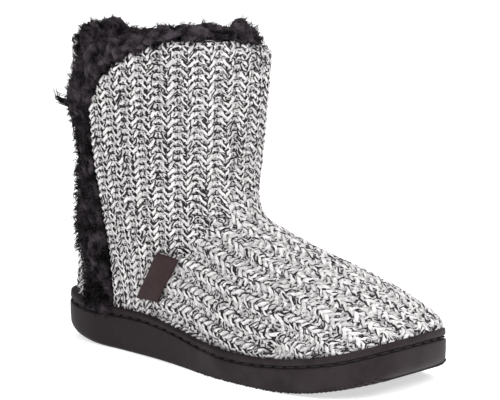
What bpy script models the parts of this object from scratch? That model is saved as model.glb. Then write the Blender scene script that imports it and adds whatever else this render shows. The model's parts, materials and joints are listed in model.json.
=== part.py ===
"""A knitted slipper boot for the right foot, with a rubber cup sole and a fleece collar.

The boot is drawn in millimetres, in its last's own frame: the heel's back is at along = 0, the toe is
at +X, the outer (lateral) side is at -Y, the ground is z = 0. build_mesh turns millimetres into metres,
and at the end the whole boot is moved so that the middle of its box stands over the origin.
"""
from collections import namedtuple

import bmesh
import bpy
import numpy as np

MM = 0.001
COLLECTION = "knitted_slipper_boot"

# Driving sizes of the sole
SOLE_LENGTH = 264.0
HEEL_LIFT = 7.0
HEEL_FLAT_FROM = 47.0
ARCH_FROM = 57.0
ARCH_TO = 130.0
ARCH_LIFT = 0.4
TOE_FLAT_TO = 193.0
TOE_SPRING = 12.4
TOE_SPRING_POWER = 1.5
CUP_DEPTH = 9.0
LIP_WIDTH = 5.0

# Driving sizes of the upper
WALL = 3.0
GAP = 0.35
FOLD_HEIGHT = 95.0
FOOT_POWER = 2.3
FOOT_CROWN_POWER = 2.0
FOOT_INSET = 2.6
FOOT_WIDEST_ABOVE_LIP = 9.0
TOE_WIDEST_ABOVE_LIP = 1.0
FOOT_LOWER_HALF = 26.0
FOOT_TUCK = 12.0
FOOT_TUCK_FROM = 96.0
FOOT_TUCK_TO = 52.0
TOE_ROUND_FROM = 222.0
TOE_CLOSING = 0.9
ANKLE_FILLET = 16.0
LEG_AXIS = 72.0
COLLAR_HEIGHT = 188.0
COLLAR_TILT = 8.0
COLLAR_RISE = 4.5
COLLAR_RISE_AT = -20.0
COLLAR_RISE_SPREAD = 45.0

# Driving sizes of the fleece
NOTCH_HEIGHT = 138.0
CORNER_POWER = 1.85
FRONT_CORNER = 86.0
REAR_CORNER = 14.0
LEAST_CREST = 3.0
FLEECE_DROOP = 1.6
FLEECE_LUMPS = 0.28

SoleRow = namedtuple("SoleRow", "turn centre lateral medial")
SOLE_ROWS = (
    SoleRow(0.00, 0.0, 0.0, 0.0),
    SoleRow(0.07, 0.0, 19.6, 18.6),
    SoleRow(0.14, 0.0, 28.6, 28.2),
    SoleRow(0.22, 0.0, 33.6, 33.6),
    SoleRow(0.32, 0.0, 34.5, 34.0),
    SoleRow(0.44, 0.0, 40.5, 33.0),
    SoleRow(0.56, 0.6, 50.8, 39.5),
    SoleRow(0.68, 1.2, 52.4, 46.0),
    SoleRow(0.78, 2.4, 47.6, 43.8),
    SoleRow(0.87, 4.5, 36.0, 35.0),
    SoleRow(0.94, 5.8, 20.4, 19.8),
    SoleRow(1.00, 6.2, 0.0, 0.0),
)
LipRow = namedtuple("LipRow", "along lip")
LIP_ROWS = (
    LipRow(0.0, 30.3),
    LipRow(25.0, 27.2),
    LipRow(54.0, 26.3),
    LipRow(80.0, 25.7),
    LipRow(96.0, 24.2),
    LipRow(118.0, 21.4),
    LipRow(140.0, 18.8),
    LipRow(165.0, 17.7),
    LipRow(190.0, 18.8),
    LipRow(215.0, 21.8),
    LipRow(240.0, 27.4),
    LipRow(264.0, 35.2),
)
# The rounding of the sole's lower edge, and how far round it rings are laid, in degrees
EdgeRow = namedtuple("EdgeRow", "along rounding")
EDGE_ROWS = (
    EdgeRow(0.0, 6.0),
    EdgeRow(25.0, 4.5),
    EdgeRow(60.0, 2.2),
    EdgeRow(95.0, 1.3),
    EdgeRow(165.0, 1.2),
    EdgeRow(225.0, 1.4),
    EdgeRow(243.0, 2.4),
    EdgeRow(256.0, 5.0),
    EdgeRow(264.0, 8.5),
)
EDGE_TURNS = (0.0, 30.0, 60.0, 90.0)
# The sole's side above that edge: a share of the side's height, a rise in millimetres and an inset
SideRow = namedtuple("SideRow", "share rise inset")
SIDE_ROWS = (
    SideRow(1.00, -7.2, 0.1),
    SideRow(1.00, -6.4, 0.5),
    SideRow(1.00, -5.6, 2.0),
    SideRow(1.00, -4.6, 2.0),
    SideRow(1.00, -3.9, 0.4),
    SideRow(1.00, -0.8, 0.6),
    SideRow(1.00, 0.0, 1.8),
    SideRow(1.00, -0.5, LIP_WIDTH),
    SideRow(1.00, -CUP_DEPTH, LIP_WIDTH),
)
LegRow = namedtuple("LegRow", "height back front half_width power")
LEG_ROWS = (
    LegRow(15.0, 8.0, 102.0, 28.5, 3.0),
    LegRow(32.0, 5.0, 110.0, 31.0, 3.0),
    LegRow(50.0, 4.5, 118.0, 34.5, 2.8),
    LegRow(72.0, 5.5, 125.0, 38.5, 2.5),
    LegRow(95.0, 6.5, 129.0, 42.5, 2.3),
    LegRow(125.0, 6.5, 132.5, 46.0, 2.25),
    LegRow(155.0, 5.5, 135.2, 48.5, 2.25),
    LegRow(185.0, 4.5, 137.4, 50.5, 2.25),
    LegRow(220.0, 4.0, 139.0, 52.0, 2.25),
)
RidgeRow = namedtuple("RidgeRow", "along ridge")
RIDGE_ROWS = (
    RidgeRow(0.0, 50.0),
    RidgeRow(50.0, 76.0),
    RidgeRow(95.0, 93.0),
    RidgeRow(120.0, 94.0),
    RidgeRow(140.0, 90.0),
    RidgeRow(160.0, 82.8),
    RidgeRow(180.0, 75.6),
    RidgeRow(200.0, 69.5),
    RidgeRow(220.0, 62.0),
    RidgeRow(240.0, 55.0),
    RidgeRow(264.0, 46.0),
)
# The fleece strip's middle and half width, as arcs round the upper from its back
StripRow = namedtuple("StripRow", "height arc half_width proud")
STRIP_ROWS = (
    StripRow(10.0, 50.5, 12.4, 1.0),
    StripRow(30.0, 50.8, 12.6, 1.2),
    StripRow(60.0, 52.7, 12.8, 2.0),
    StripRow(85.0, 51.2, 12.6, 3.0),
    StripRow(115.0, 49.0, 12.5, 4.2),
    StripRow(150.0, 49.0, 12.5, 4.6),
    StripRow(220.0, 49.0, 12.5, 4.6),
)
# The height of the fleece's crest and how far it leans out, round the leg from the inner side of the back
# (180 degrees) by the inner side (90) and the shin (0) to the outer side of the back
FleeceRow = namedtuple("FleeceRow", "bearing crest lean")
FLEECE_ROWS = (
    FleeceRow(-180.0, 198.5, -1.0),
    FleeceRow(-172.0, 197.5, -3.0),
    FleeceRow(-166.0, 192.0, -7.0),
    FleeceRow(-159.0, 188.0, -9.0),
    FleeceRow(-152.0, 186.0, -8.0),
    FleeceRow(-145.0, 184.0, -3.0),
    FleeceRow(-138.0, 185.0, 2.0),
    FleeceRow(-130.0, 190.0, 1.5),
    FleeceRow(-120.0, 193.5, 0.5),
    FleeceRow(-90.0, 197.5, 0.0),
    FleeceRow(-72.0, 200.0, 0.0),
    FleeceRow(-52.0, 206.5, -1.0),
    FleeceRow(-36.0, 208.0, -4.5),
    FleeceRow(-12.0, 207.0, -8.5),
    FleeceRow(5.0, 206.5, -10.5),
    FleeceRow(22.0, 204.0, -14.0),
    FleeceRow(40.0, 200.0, -15.0),
    FleeceRow(65.0, 194.0, -11.0),
    FleeceRow(90.0, 189.0, -5.5),
    FleeceRow(128.0, 184.0, -0.5),
    FleeceRow(149.0, 186.0, 1.0),
    FleeceRow(157.0, 192.5, 0.5),
    FleeceRow(164.0, 198.0, 0.0),
    FleeceRow(180.0, 198.5, -1.0),
)
# The collar's section, from its outer foot over the top, down inside and back under; its rows stand a
# share of the way from the knit's edge to the crest, plus a rise, and so far out from the knit's surface
CollarRow = namedtuple("CollarRow", "share rise out lumpy")
COLLAR_ROWS = (
    CollarRow(0.00, 0.0, 0.8, False),
    CollarRow(0.14, 0.0, 2.6, True),
    CollarRow(0.42, 0.0, 3.4, True),
    CollarRow(0.76, 0.0, 0.4, True),
    CollarRow(1.00, -1.5, -3.2, True),
    CollarRow(1.00, 0.0, -6.6, True),
    CollarRow(0.82, 0.0, -10.0, True),
    CollarRow(0.45, 0.0, -12.0, True),
    CollarRow(0.00, -4.0, -12.5, True),
    CollarRow(0.00, -12.0, -10.5, False),
    CollarRow(0.00, -13.0, -6.0, False),
    CollarRow(0.00, -9.0, -WALL - GAP - 0.15, False),
    CollarRow(0.00, 0.0, -WALL - GAP, False),
)
# The label's corners in side view, on the outer side, from its top at the rear
LabelRow = namedtuple("LabelRow", "along height")
LABEL_ROWS = (
    LabelRow(94.5, 66.5),
    LabelRow(111.0, 64.0),
    LabelRow(74.5, 35.6),
    LabelRow(93.5, 35.6),
)
LABEL_THICKNESS = 1.2
LABEL_GAP = 0.5
INSOLE_THICKNESS = 5.0
SEED = 11


def smooth(rows, key, name, at):
    """The column `name` against the column `key`, as a cubic through the rows."""
    keys = np.array([getattr(row, key) for row in rows], float)
    values = np.array([getattr(row, name) for row in rows], float)
    slopes = np.gradient(values, keys)
    at = np.clip(np.asarray(at, float), keys[0], keys[-1])
    i = np.clip(np.searchsorted(keys, at) - 1, 0, len(keys) - 2)
    step = keys[i + 1] - keys[i]
    t = (at - keys[i]) / step
    start = (2 * t**3 - 3 * t**2 + 1) * values[i] + (t**3 - 2 * t**2 + t) * step * slopes[i]
    end = (3 * t**2 - 2 * t**3) * values[i + 1] + (t**3 - t**2) * step * slopes[i + 1]
    return start + end


def ramp(value, start, end):
    """0 before start, 1 after end, straight between them."""
    return np.clip((value - start) / (end - start), 0.0, 1.0)


def lip_height(along):
    return smooth(LIP_ROWS, "along", "lip", along)


def underside(along):
    """The tread's height: flat under the ball, raised at the heel's back, the toe and a little between."""
    heel = HEEL_LIFT * ramp(along, HEEL_FLAT_FROM, 0.0) ** 2
    arch = ARCH_LIFT * np.sin(np.pi * ramp(along, ARCH_FROM, ARCH_TO)) ** 2
    toe = TOE_SPRING * ramp(along, TOE_FLAT_TO, SOLE_LENGTH) ** TOE_SPRING_POWER
    return heel + arch + toe


def cup_floor(along):
    return lip_height(along) - CUP_DEPTH


def sole_outline(inset, per_side):
    """A closed ring in plan: the outer side from heel to toe, then the inner side back.

    The inset is one number, or one for each point of the ring.
    """
    turn = np.linspace(0.0, 1.0, per_side + 1)
    along = SOLE_LENGTH / 2 * (1 - np.cos(np.pi * turn))
    centre = smooth(SOLE_ROWS, "turn", "centre", turn)
    lateral = centre - smooth(SOLE_ROWS, "turn", "lateral", turn)
    medial = centre + smooth(SOLE_ROWS, "turn", "medial", turn)
    ring = np.concatenate([
        np.stack([along, lateral], -1),
        np.stack([along, medial], -1)[-2:0:-1],
    ])
    tangent = np.roll(ring, -1, axis=0) - np.roll(ring, 1, axis=0)
    inward = np.stack([-tangent[:, 1], tangent[:, 0]], -1)
    inward /= np.linalg.norm(inward, axis=1)[:, None]
    return ring + np.reshape(inset, (-1, 1)) * inward


class Upper:
    """The upper's outer surface: a leg column and a foot form, joined with a fillet at the ankle."""

    DIRECTIONS = 360
    HALVINGS = 34
    REACH = 240.0
    AIM_HALF_WIDTH = 50.0
    FOOT_DEPTH = 40.0
    LEG_DEPTH = 48.0

    def __init__(self):
        ring = sole_outline(FOOT_INSET, 200)
        self.foot_lateral = ring[:201]
        self.foot_medial = np.concatenate([ring[:1], ring[:199:-1]])
        self.toe_end = ring[:, 0].max()
        angle = np.linspace(np.pi, 3 * np.pi, self.DIRECTIONS + 1)[:-1]
        aim_along = SOLE_LENGTH / 2 * (1 + np.cos(angle)) - LEG_AXIS
        aim = np.stack([aim_along, self.AIM_HALF_WIDTH * np.sin(angle)], -1)
        self.aims = aim / np.linalg.norm(aim, axis=1)[:, None]

    def foot(self, x, y, z):
        """How deep a point lies in the foot form, about in millimetres."""
        lateral = np.interp(x, self.foot_lateral[:, 0], self.foot_lateral[:, 1])
        medial = np.interp(x, self.foot_medial[:, 0], self.foot_medial[:, 1])
        centre = (lateral + medial) / 2
        half = np.maximum((medial - lateral) / 2, 0.01)
        towards_toe = ramp(x, TOE_ROUND_FROM, self.toe_end)
        widest_above = FOOT_WIDEST_ABOVE_LIP + (TOE_WIDEST_ABOVE_LIP - FOOT_WIDEST_ABOVE_LIP) * towards_toe
        widest = lip_height(x) + widest_above
        closing = np.sqrt(1 - TOE_CLOSING * towards_toe**2)
        crown = (smooth(RIDGE_ROWS, "along", "ridge", x) - widest) * closing
        up = np.where(z > widest, (z - widest) / crown, (widest - z) / FOOT_LOWER_HALF)
        beyond = np.maximum(np.maximum(self.foot_lateral[0, 0] - x, x - self.toe_end), 0.0)
        reach = ((np.abs(y - centre) + beyond) / half) ** FOOT_POWER + np.abs(up) ** FOOT_CROWN_POWER
        return self.FOOT_DEPTH * (1 - np.sqrt(reach)) - FOOT_TUCK * ramp(x, FOOT_TUCK_FROM, FOOT_TUCK_TO)

    def leg(self, x, y, z):
        """How deep a point lies in the leg column, about in millimetres."""
        back = smooth(LEG_ROWS, "height", "back", z)
        front = smooth(LEG_ROWS, "height", "front", z)
        half = smooth(LEG_ROWS, "height", "half_width", z)
        power = smooth(LEG_ROWS, "height", "power", z)
        length = (front - back) / 2
        reach = np.abs((x - back - length) / length) ** power + np.abs(y / half) ** power
        return self.LEG_DEPTH * (1 - reach ** (1 / power))

    def depth(self, x, y, z):
        foot = self.foot(x, y, z)
        leg = self.leg(x, y, z)
        blend = np.maximum(ANKLE_FILLET - np.abs(foot - leg), 0.0) / ANKLE_FILLET
        return np.maximum(foot, leg) + blend**2 * ANKLE_FILLET / 4

    def ring(self, height):
        """A closed ring round the leg's axis, from the back by the outer side; height is a function of x."""
        near = np.zeros(self.DIRECTIONS)
        far = np.full(self.DIRECTIONS, self.REACH)
        for _ in range(self.HALVINGS):
            middle = (near + far) / 2
            x = LEG_AXIS + middle * self.aims[:, 0]
            inside = self.depth(x, middle * self.aims[:, 1], height(x)) > 0
            near = np.where(inside, middle, near)
            far = np.where(inside, far, middle)
        x = LEG_AXIS + near * self.aims[:, 0]
        return np.stack([x, near * self.aims[:, 1], height(x)], -1)


class Stack:
    """Rings of the upper from the cup's floor to above the collar, read by a place round it and a height.

    A place runs 0 to 4: 0 is the strip's front edge, 1 the toe or shin, 2 the back, 3 the strip's rear
    edge, and 4 the strip's front edge again.
    """

    FOOT_SHARES = np.linspace(0.0, 1.0, 14)
    LEG_STEP = 8.0
    LEG_HEIGHTS = np.arange(FOLD_HEIGHT + LEG_STEP, 226.0, LEG_STEP)
    SKIRT_UNDER_LIP = 0.5
    BASE_OVER_LIP = 2.2

    def __init__(self, upper):
        skirt = sole_outline(LIP_WIDTH + 1.4 * GAP, upper.DIRECTIONS // 2)
        self.rings = []
        for height in (self.floor, self.skirt):
            self.rings.append(np.column_stack([skirt, height(skirt[:, 0])]))
        for share in self.FOOT_SHARES:
            self.rings.append(upper.ring(lambda x, s=share: self.base(x) + (FOLD_HEIGHT - self.base(x)) * s))
        for height in self.LEG_HEIGHTS:
            self.rings.append(upper.ring(lambda x, h=height: h + 0.0 * x))
        self.skirt_rows = 2
        self.foot_rows = 2 + len(self.FOOT_SHARES)

    @staticmethod
    def floor(x):
        return cup_floor(x) + GAP

    def skirt(self, x):
        return lip_height(x) - self.SKIRT_UNDER_LIP

    def base(self, x):
        return lip_height(x) + self.BASE_OVER_LIP

    @staticmethod
    def marks(ring):
        """The ring's running length, and the arcs of places 0 to 4 on it."""
        closed = np.concatenate([ring, ring[:1]])
        length = np.concatenate([[0.0], np.cumsum(np.linalg.norm(np.diff(closed, axis=0), axis=1))])
        height = np.interp(STRIP_ROWS[0].arc, length, closed[:, 2])
        middle = smooth(STRIP_ROWS, "height", "arc", height)
        half = smooth(STRIP_ROWS, "height", "half_width", height)
        front = length[len(ring) // 2]
        total = length[-1]
        return closed, length, [middle + half, front, total, total + middle - half, total + middle + half]

    def collar_marks(self):
        """The arcs of places 0 to 4 on the ring nearest the collar's height."""
        ring = self.rings[self.foot_rows + np.searchsorted(self.LEG_HEIGHTS, COLLAR_HEIGHT) - 1]
        return self.marks(ring)[2]

    def columns(self, places):
        """An array of level by place by coordinate."""
        levels = []
        for ring in self.rings:
            closed, length, marks = self.marks(ring)
            arcs = np.mod(np.interp(np.mod(places, 4.0), range(5), marks), length[-1])
            levels.append(np.stack([np.interp(arcs, length, closed[:, k]) for k in range(3)], -1))
        return np.array(levels)

    def points(self, places, heights):
        """Points on the surface, one for each place and height."""
        columns = self.columns(places)
        found = []
        for j, height in enumerate(heights):
            column = columns[:, j]
            found.append([np.interp(height, column[:, 2], column[:, k]) for k in range(3)])
        return np.array(found)

    def normals(self, places, heights):
        """Outward unit normals at the same places and heights."""
        step, rise = 0.02, 1.5
        across = self.points(places + step, heights) - self.points(places - step, heights)
        up = self.points(places, heights + rise) - self.points(places, heights - rise)
        return unit(np.cross(across, up))

    def wall(self, places, height_rows):
        """A grid on the surface and its normals, level in the cup and at the top edge."""
        surface = np.array([self.points(places, heights) for heights in height_rows])
        normals = np.array([self.normals(places, heights) for heights in height_rows])
        for row in (0, 1, len(height_rows) - 1):
            normals[row, :, 2] = 0.0
        return surface, unit(normals)


def unit(vectors):
    return vectors / np.linalg.norm(vectors, axis=-1, keepdims=True)


def panel_places():
    """The knit's columns, closer together at the slot, whose corners are rounded."""
    outer = np.linspace(0.0, 1.0, 35) ** 1.6
    inner = 1.0 + np.linspace(0.0, 1.0, 25)[1:]
    rear = 3.0 - (1.0 - np.linspace(0.0, 1.0, 9)[1:]) ** 1.6
    return np.concatenate([outer, inner, rear])


def bearing(points):
    """The direction of points from the leg's axis: 0 at the shin, -90 degrees on the outer side."""
    return np.degrees(np.arctan2(points[:, 1], points[:, 0] - LEG_AXIS))


def collar_height(points):
    """The knit's top edge before its corners: higher on the outer side, with a rise towards the shin."""
    angle = bearing(points)
    rise = COLLAR_RISE * np.exp(-((angle - COLLAR_RISE_AT) / COLLAR_RISE_SPREAD) ** 2)
    return COLLAR_HEIGHT - COLLAR_TILT * np.sin(np.radians(angle)) + rise


def knit_top(stack, places):
    """The knit's top edge with its two rounded corners, and the arc of each place at that height."""
    height = collar_height(stack.points(places, np.full(len(places), COLLAR_HEIGHT)))
    marks = stack.collar_marks()
    arc = np.interp(places, range(5), marks)
    from_front = np.clip((arc - marks[0]) / FRONT_CORNER, 0.0, 1.0)
    from_rear = np.clip((marks[3] - arc) / REAR_CORNER, 0.0, 1.0)
    for share in (from_front, from_rear):
        rounding = (1.0 - (1.0 - share) ** CORNER_POWER) ** (1.0 / CORNER_POWER)
        height = NOTCH_HEIGHT + (height - NOTCH_HEIGHT) * rounding
    return height, arc


def build_mesh(name, points, faces, material, collection, parent):
    """A closed mesh from points in millimetres, its faces turned outwards."""
    mesh = bpy.data.meshes.new(name)
    mesh.from_pydata([tuple(point * MM) for point in points], [], faces)
    edit = bmesh.new()
    edit.from_mesh(mesh)
    bmesh.ops.recalc_face_normals(edit, faces=edit.faces)
    bmesh.ops.triangulate(edit, faces=edit.faces, quad_method="SHORT_EDGE")
    edit.to_mesh(mesh)
    edit.free()
    mesh.shade_smooth()
    mesh.set_sharp_from_angle(angle=np.radians(40.0))
    mesh.materials.append(material)
    thing = bpy.data.objects.new(name, mesh)
    thing.parent = parent
    collection.objects.link(thing)
    return thing


def shell(outer, inner):
    """Points and faces of a sheet with thickness, from two grids of the same shape."""
    rows, columns = outer.shape[:2]
    points = np.concatenate([outer.reshape(-1, 3), inner.reshape(-1, 3)])
    back = rows * columns

    def at(i, j, side):
        return side * back + i * columns + j

    faces = []
    for i in range(rows - 1):
        for j in range(columns - 1):
            faces.append((at(i, j, 0), at(i, j + 1, 0), at(i + 1, j + 1, 0), at(i + 1, j, 0)))
            faces.append((at(i, j, 1), at(i + 1, j, 1), at(i + 1, j + 1, 1), at(i, j + 1, 1)))
    for i in range(rows - 1):
        for j in (0, columns - 1):
            faces.append((at(i, j, 0), at(i + 1, j, 0), at(i + 1, j, 1), at(i, j, 1)))
    for j in range(columns - 1):
        for i in (0, rows - 1):
            faces.append((at(i, j, 0), at(i, j, 1), at(i, j + 1, 1), at(i, j + 1, 0)))
    return points, faces


def capped_rings(rings):
    """Points and faces of sole-shaped rings, closed at both ends by strips from side to side."""
    count = len(rings[0])
    half = count // 2
    points = np.concatenate(rings)
    faces = []
    for level in range(len(rings) - 1):
        first = level * count
        for j in range(count):
            after = (j + 1) % count
            faces.append((first + j, first + after, first + count + after, first + count + j))
    for first in (0, (len(rings) - 1) * count):
        for j in range(half):
            corners = [j, j + 1, (count - j - 1) % count, (count - j) % count]
            faces.append(tuple(first + corner for corner in dict.fromkeys(corners)))
    return points, faces


def outsole():
    """The cup sole: tread, rounded lower edge, stitch groove, lip, and the cup that takes the upper."""
    outline = sole_outline(0.0, 36)
    rounding = smooth(EDGE_ROWS, "along", "rounding", outline[:, 0])
    rings = []
    for turn in np.radians(EDGE_TURNS):
        ring = sole_outline(rounding * (1.0 - np.sin(turn)), 36)
        rings.append(np.column_stack([ring, underside(ring[:, 0]) + rounding * (1.0 - np.cos(turn))]))
    for row in SIDE_ROWS:
        ring = sole_outline(row.inset, 36)
        low = underside(ring[:, 0])
        side = lip_height(ring[:, 0]) - low
        rings.append(np.column_stack([ring, low + row.share * side + row.rise]))
    return capped_rings(rings)


def insole():
    """The footbed on the cup's floor, inside the upper's wall."""
    ring = sole_outline(LIP_WIDTH + WALL + 6 * GAP, 32)
    rings = []
    for height in (GAP, INSOLE_THICKNESS):
        rings.append(np.column_stack([ring, cup_floor(ring[:, 0]) + height]))
    return capped_rings(rings)


def upper_panel(stack):
    """The knitted shell, open at the collar, at the strip's slot and underneath."""
    places = panel_places()
    top, _ = knit_top(stack, places)
    height_rows = [row[:, 2] for row in stack.columns(places)[:stack.foot_rows]]
    for share in np.linspace(0.0, 1.0, 9)[1:]:
        height_rows.append(FOLD_HEIGHT + (top - FOLD_HEIGHT) * share)
    outer, normals = stack.wall(places, height_rows)
    return shell(outer, outer - WALL * normals)


def fleece_gusset(stack, dice):
    """The fleece strip in the slot, its locks standing proud of the knit above the sole's lip."""
    margin = (GAP + 0.1) / (2 * STRIP_ROWS[0].half_width)
    across = np.linspace(-1.0, 1.0, 8)
    places = 3.5 + across * (0.5 - margin)
    height_rows = [row[:, 2] for row in stack.columns(places)[:3]]
    lowest = height_rows[-1]
    for share in np.linspace(0.0, 1.0, 24)[1:]:
        height_rows.append(lowest + (NOTCH_HEIGHT - lowest) * share)
    surface, normals = stack.wall(places, height_rows)
    proud = smooth(STRIP_ROWS, "height", "proud", surface[3:, :, 2]) * np.sqrt(1.0 - np.abs(across) ** 2.4)
    lifted = np.zeros(surface.shape[:2])
    lifted[3:] = 1.2 + proud * (1.0 + 0.4 * dice.uniform(-1.0, 1.0, proud.shape))
    outer = surface + lifted[:, :, None] * normals
    outer[4:-1, 1:-1, 2] -= FLEECE_DROOP * dice.uniform(0.0, 1.0, (len(height_rows) - 5, len(places) - 2))
    return shell(outer, surface - WALL * normals)


def fleece_collar(stack, dice):
    """The rolled fleece: a closed ring on the knit's edge, hanging inside it and filling the notch."""
    knit = panel_places()
    places = np.concatenate([knit, 3.0 + np.array([0.2, 0.4, 0.6, 0.8])])
    edge, arc = knit_top(stack, places)
    edge[len(knit):] = NOTCH_HEIGHT
    marks = stack.collar_marks()
    total = marks[2]
    around = stack.points(places, np.full(len(places), COLLAR_HEIGHT))
    angle = bearing(around)
    crest = np.maximum(smooth(FLEECE_ROWS, "bearing", "crest", angle), edge + LEAST_CREST)
    lean = smooth(FLEECE_ROWS, "bearing", "lean", angle)
    slope = np.roll(edge, -1) - np.roll(edge, 1)
    run = np.mod(np.roll(arc, -1) - np.roll(arc, 1), total)
    edge_step = np.hypot(slope, run)
    per_millimetre = 1.0 / np.diff(marks)[np.minimum(places.astype(int), 3)]
    base_places = places - GAP * slope / edge_step * per_millimetre
    base_heights = edge + GAP * run / edge_step
    for corner, side in ((0, -1.0), (len(knit) - 1, 1.0)):
        base_places[corner] = places[corner] + side * GAP * per_millimetre[-1]
        base_heights[corner] = NOTCH_HEIGHT + GAP
    rows = []
    for row in COLLAR_ROWS:
        heights = base_heights + row.share * (crest - base_heights) + row.rise
        out = np.full(len(places), row.out)
        if row.lumpy:
            out = out * (1.0 + FLEECE_LUMPS * dice.uniform(-1.0, 1.0, len(places)))
            heights = heights + 2.0 * row.share * dice.uniform(-1.0, 1.0, len(places))
        out = out + lean * row.share
        on_surface = stack.points(base_places, heights)
        rows.append(on_surface + out[:, None] * stack.normals(base_places, heights))
    count = len(places)
    faces = []
    for i in range(len(rows)):
        for j in range(count):
            after = (j + 1) % count
            below, above = i * count, (i + 1) % len(rows) * count
            faces.append((below + j, below + after, above + after, above + j))
    return np.concatenate(rows), faces


def side_points(upper, along, height):
    """Points of the upper's outer side at places of its side view."""
    near, far = np.zeros(along.shape), np.full(along.shape, 80.0)
    for _ in range(upper.HALVINGS):
        middle = (near + far) / 2
        inside = upper.depth(along, -middle, height) > 0
        near, far = np.where(inside, middle, near), np.where(inside, far, middle)
    return np.stack([along, -near, height], -1)


def label_tab(upper):
    """The woven label, bare, sewn in at the seam and lying back over the heel panel."""
    down, across = np.meshgrid(np.linspace(0, 1, 7), np.linspace(0, 1, 5), indexing="ij")
    corners = [np.array(row) for row in LABEL_ROWS]
    top = corners[0] + across[..., None] * (corners[1] - corners[0])
    foot = corners[2] + across[..., None] * (corners[3] - corners[2])
    flat = top + down[..., None] * (foot - top)
    surface = side_points(upper, flat[..., 0], flat[..., 1])
    normals = unit(np.cross(np.gradient(surface, axis=0), np.gradient(surface, axis=1)))
    return shell(surface + (LABEL_GAP + LABEL_THICKNESS) * normals, surface + LABEL_GAP * normals)


def finish(name, colour, roughness):
    """A plain material in a piece's colour."""
    material = bpy.data.materials.new(name)
    material.use_nodes = True
    shader = material.node_tree.nodes["Principled BSDF"]
    shader.inputs["Base Color"].default_value = (*colour, 1.0)
    shader.inputs["Roughness"].default_value = roughness
    shader.inputs["Metallic"].default_value = 0.0
    return material


def main():
    for thing in list(bpy.data.objects):
        bpy.data.objects.remove(thing, do_unlink=True)
    collection = bpy.data.collections.new(COLLECTION)
    bpy.context.scene.collection.children.link(collection)
    boot = bpy.data.objects.new("boot", None)
    collection.objects.link(boot)

    rubber = finish("black_rubber", (0.018, 0.018, 0.020), 0.62)
    footbed = finish("dark_footbed", (0.02, 0.02, 0.022), 0.95)
    knit = finish("marled_knit", (0.42, 0.41, 0.40), 0.9)
    strip_fleece = finish("black_fleece_strip", (0.012, 0.012, 0.014), 0.95)
    collar_fleece = finish("black_fleece_collar", (0.012, 0.012, 0.014), 0.95)
    label = finish("brown_label", (0.035, 0.018, 0.016), 0.8)

    upper = Upper()
    stack = Stack(upper)
    dice = np.random.default_rng(SEED)
    pieces = (
        ("outsole", outsole(), rubber),
        ("insole", insole(), footbed),
        ("upper", upper_panel(stack), knit),
        ("fleece_gusset", fleece_gusset(stack, dice), strip_fleece),
        ("fleece_collar", fleece_collar(stack, dice), collar_fleece),
        ("label_tab", label_tab(upper), label),
    )
    for name, (points, faces), material in pieces:
        build_mesh(name, points, faces, material, collection, boot)

    everything = np.concatenate([points for _, (points, _), _ in pieces])
    middle = (everything.min(axis=0) + everything.max(axis=0)) / 2
    boot.location = (-middle[0] * MM, -middle[1] * MM, 0.0)


main()
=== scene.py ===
"""A knitted slipper boot for the right foot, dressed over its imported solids.

Sizes are in millimetres in the last's own frame, as in the part's source: the heel's back is at x = 0, the
toe is at +x, the outer side is at -y and the ground is z = 0. Last.world turns them into the frame's metres.
"""
import json
import logging
import math
from collections.abc import Callable, Sequence
from dataclasses import dataclass, field
from enum import Enum

import bpy
import numpy as np
from mathutils import Matrix, Vector, noise

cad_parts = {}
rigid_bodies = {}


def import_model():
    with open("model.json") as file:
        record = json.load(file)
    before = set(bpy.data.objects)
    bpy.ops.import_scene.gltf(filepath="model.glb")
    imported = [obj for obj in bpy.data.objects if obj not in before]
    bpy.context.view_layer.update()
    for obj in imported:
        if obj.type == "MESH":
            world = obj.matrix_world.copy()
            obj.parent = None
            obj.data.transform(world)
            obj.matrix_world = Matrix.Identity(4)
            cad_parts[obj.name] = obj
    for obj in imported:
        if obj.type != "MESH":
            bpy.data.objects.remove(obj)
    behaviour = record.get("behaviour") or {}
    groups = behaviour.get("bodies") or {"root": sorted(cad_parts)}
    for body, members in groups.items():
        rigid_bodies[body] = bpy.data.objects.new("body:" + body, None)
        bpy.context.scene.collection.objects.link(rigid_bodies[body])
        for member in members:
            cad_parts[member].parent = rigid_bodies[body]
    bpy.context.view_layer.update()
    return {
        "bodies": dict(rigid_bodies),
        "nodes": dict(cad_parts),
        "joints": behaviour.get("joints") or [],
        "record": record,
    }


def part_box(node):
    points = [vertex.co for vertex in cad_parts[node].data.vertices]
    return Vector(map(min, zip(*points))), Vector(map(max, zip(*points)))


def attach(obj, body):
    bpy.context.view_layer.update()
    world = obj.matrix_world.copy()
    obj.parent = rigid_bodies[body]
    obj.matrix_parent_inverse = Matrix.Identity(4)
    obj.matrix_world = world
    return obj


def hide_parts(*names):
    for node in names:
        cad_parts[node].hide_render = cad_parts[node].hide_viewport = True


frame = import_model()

BODY = "root"
MM = 0.001
CM2_PER_M2 = 1e4
LOG = logging.getLogger("slipper_boot")

Grid = np.ndarray
Colour = tuple[float, float, float]


# Shader and geometry node helpers


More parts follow.
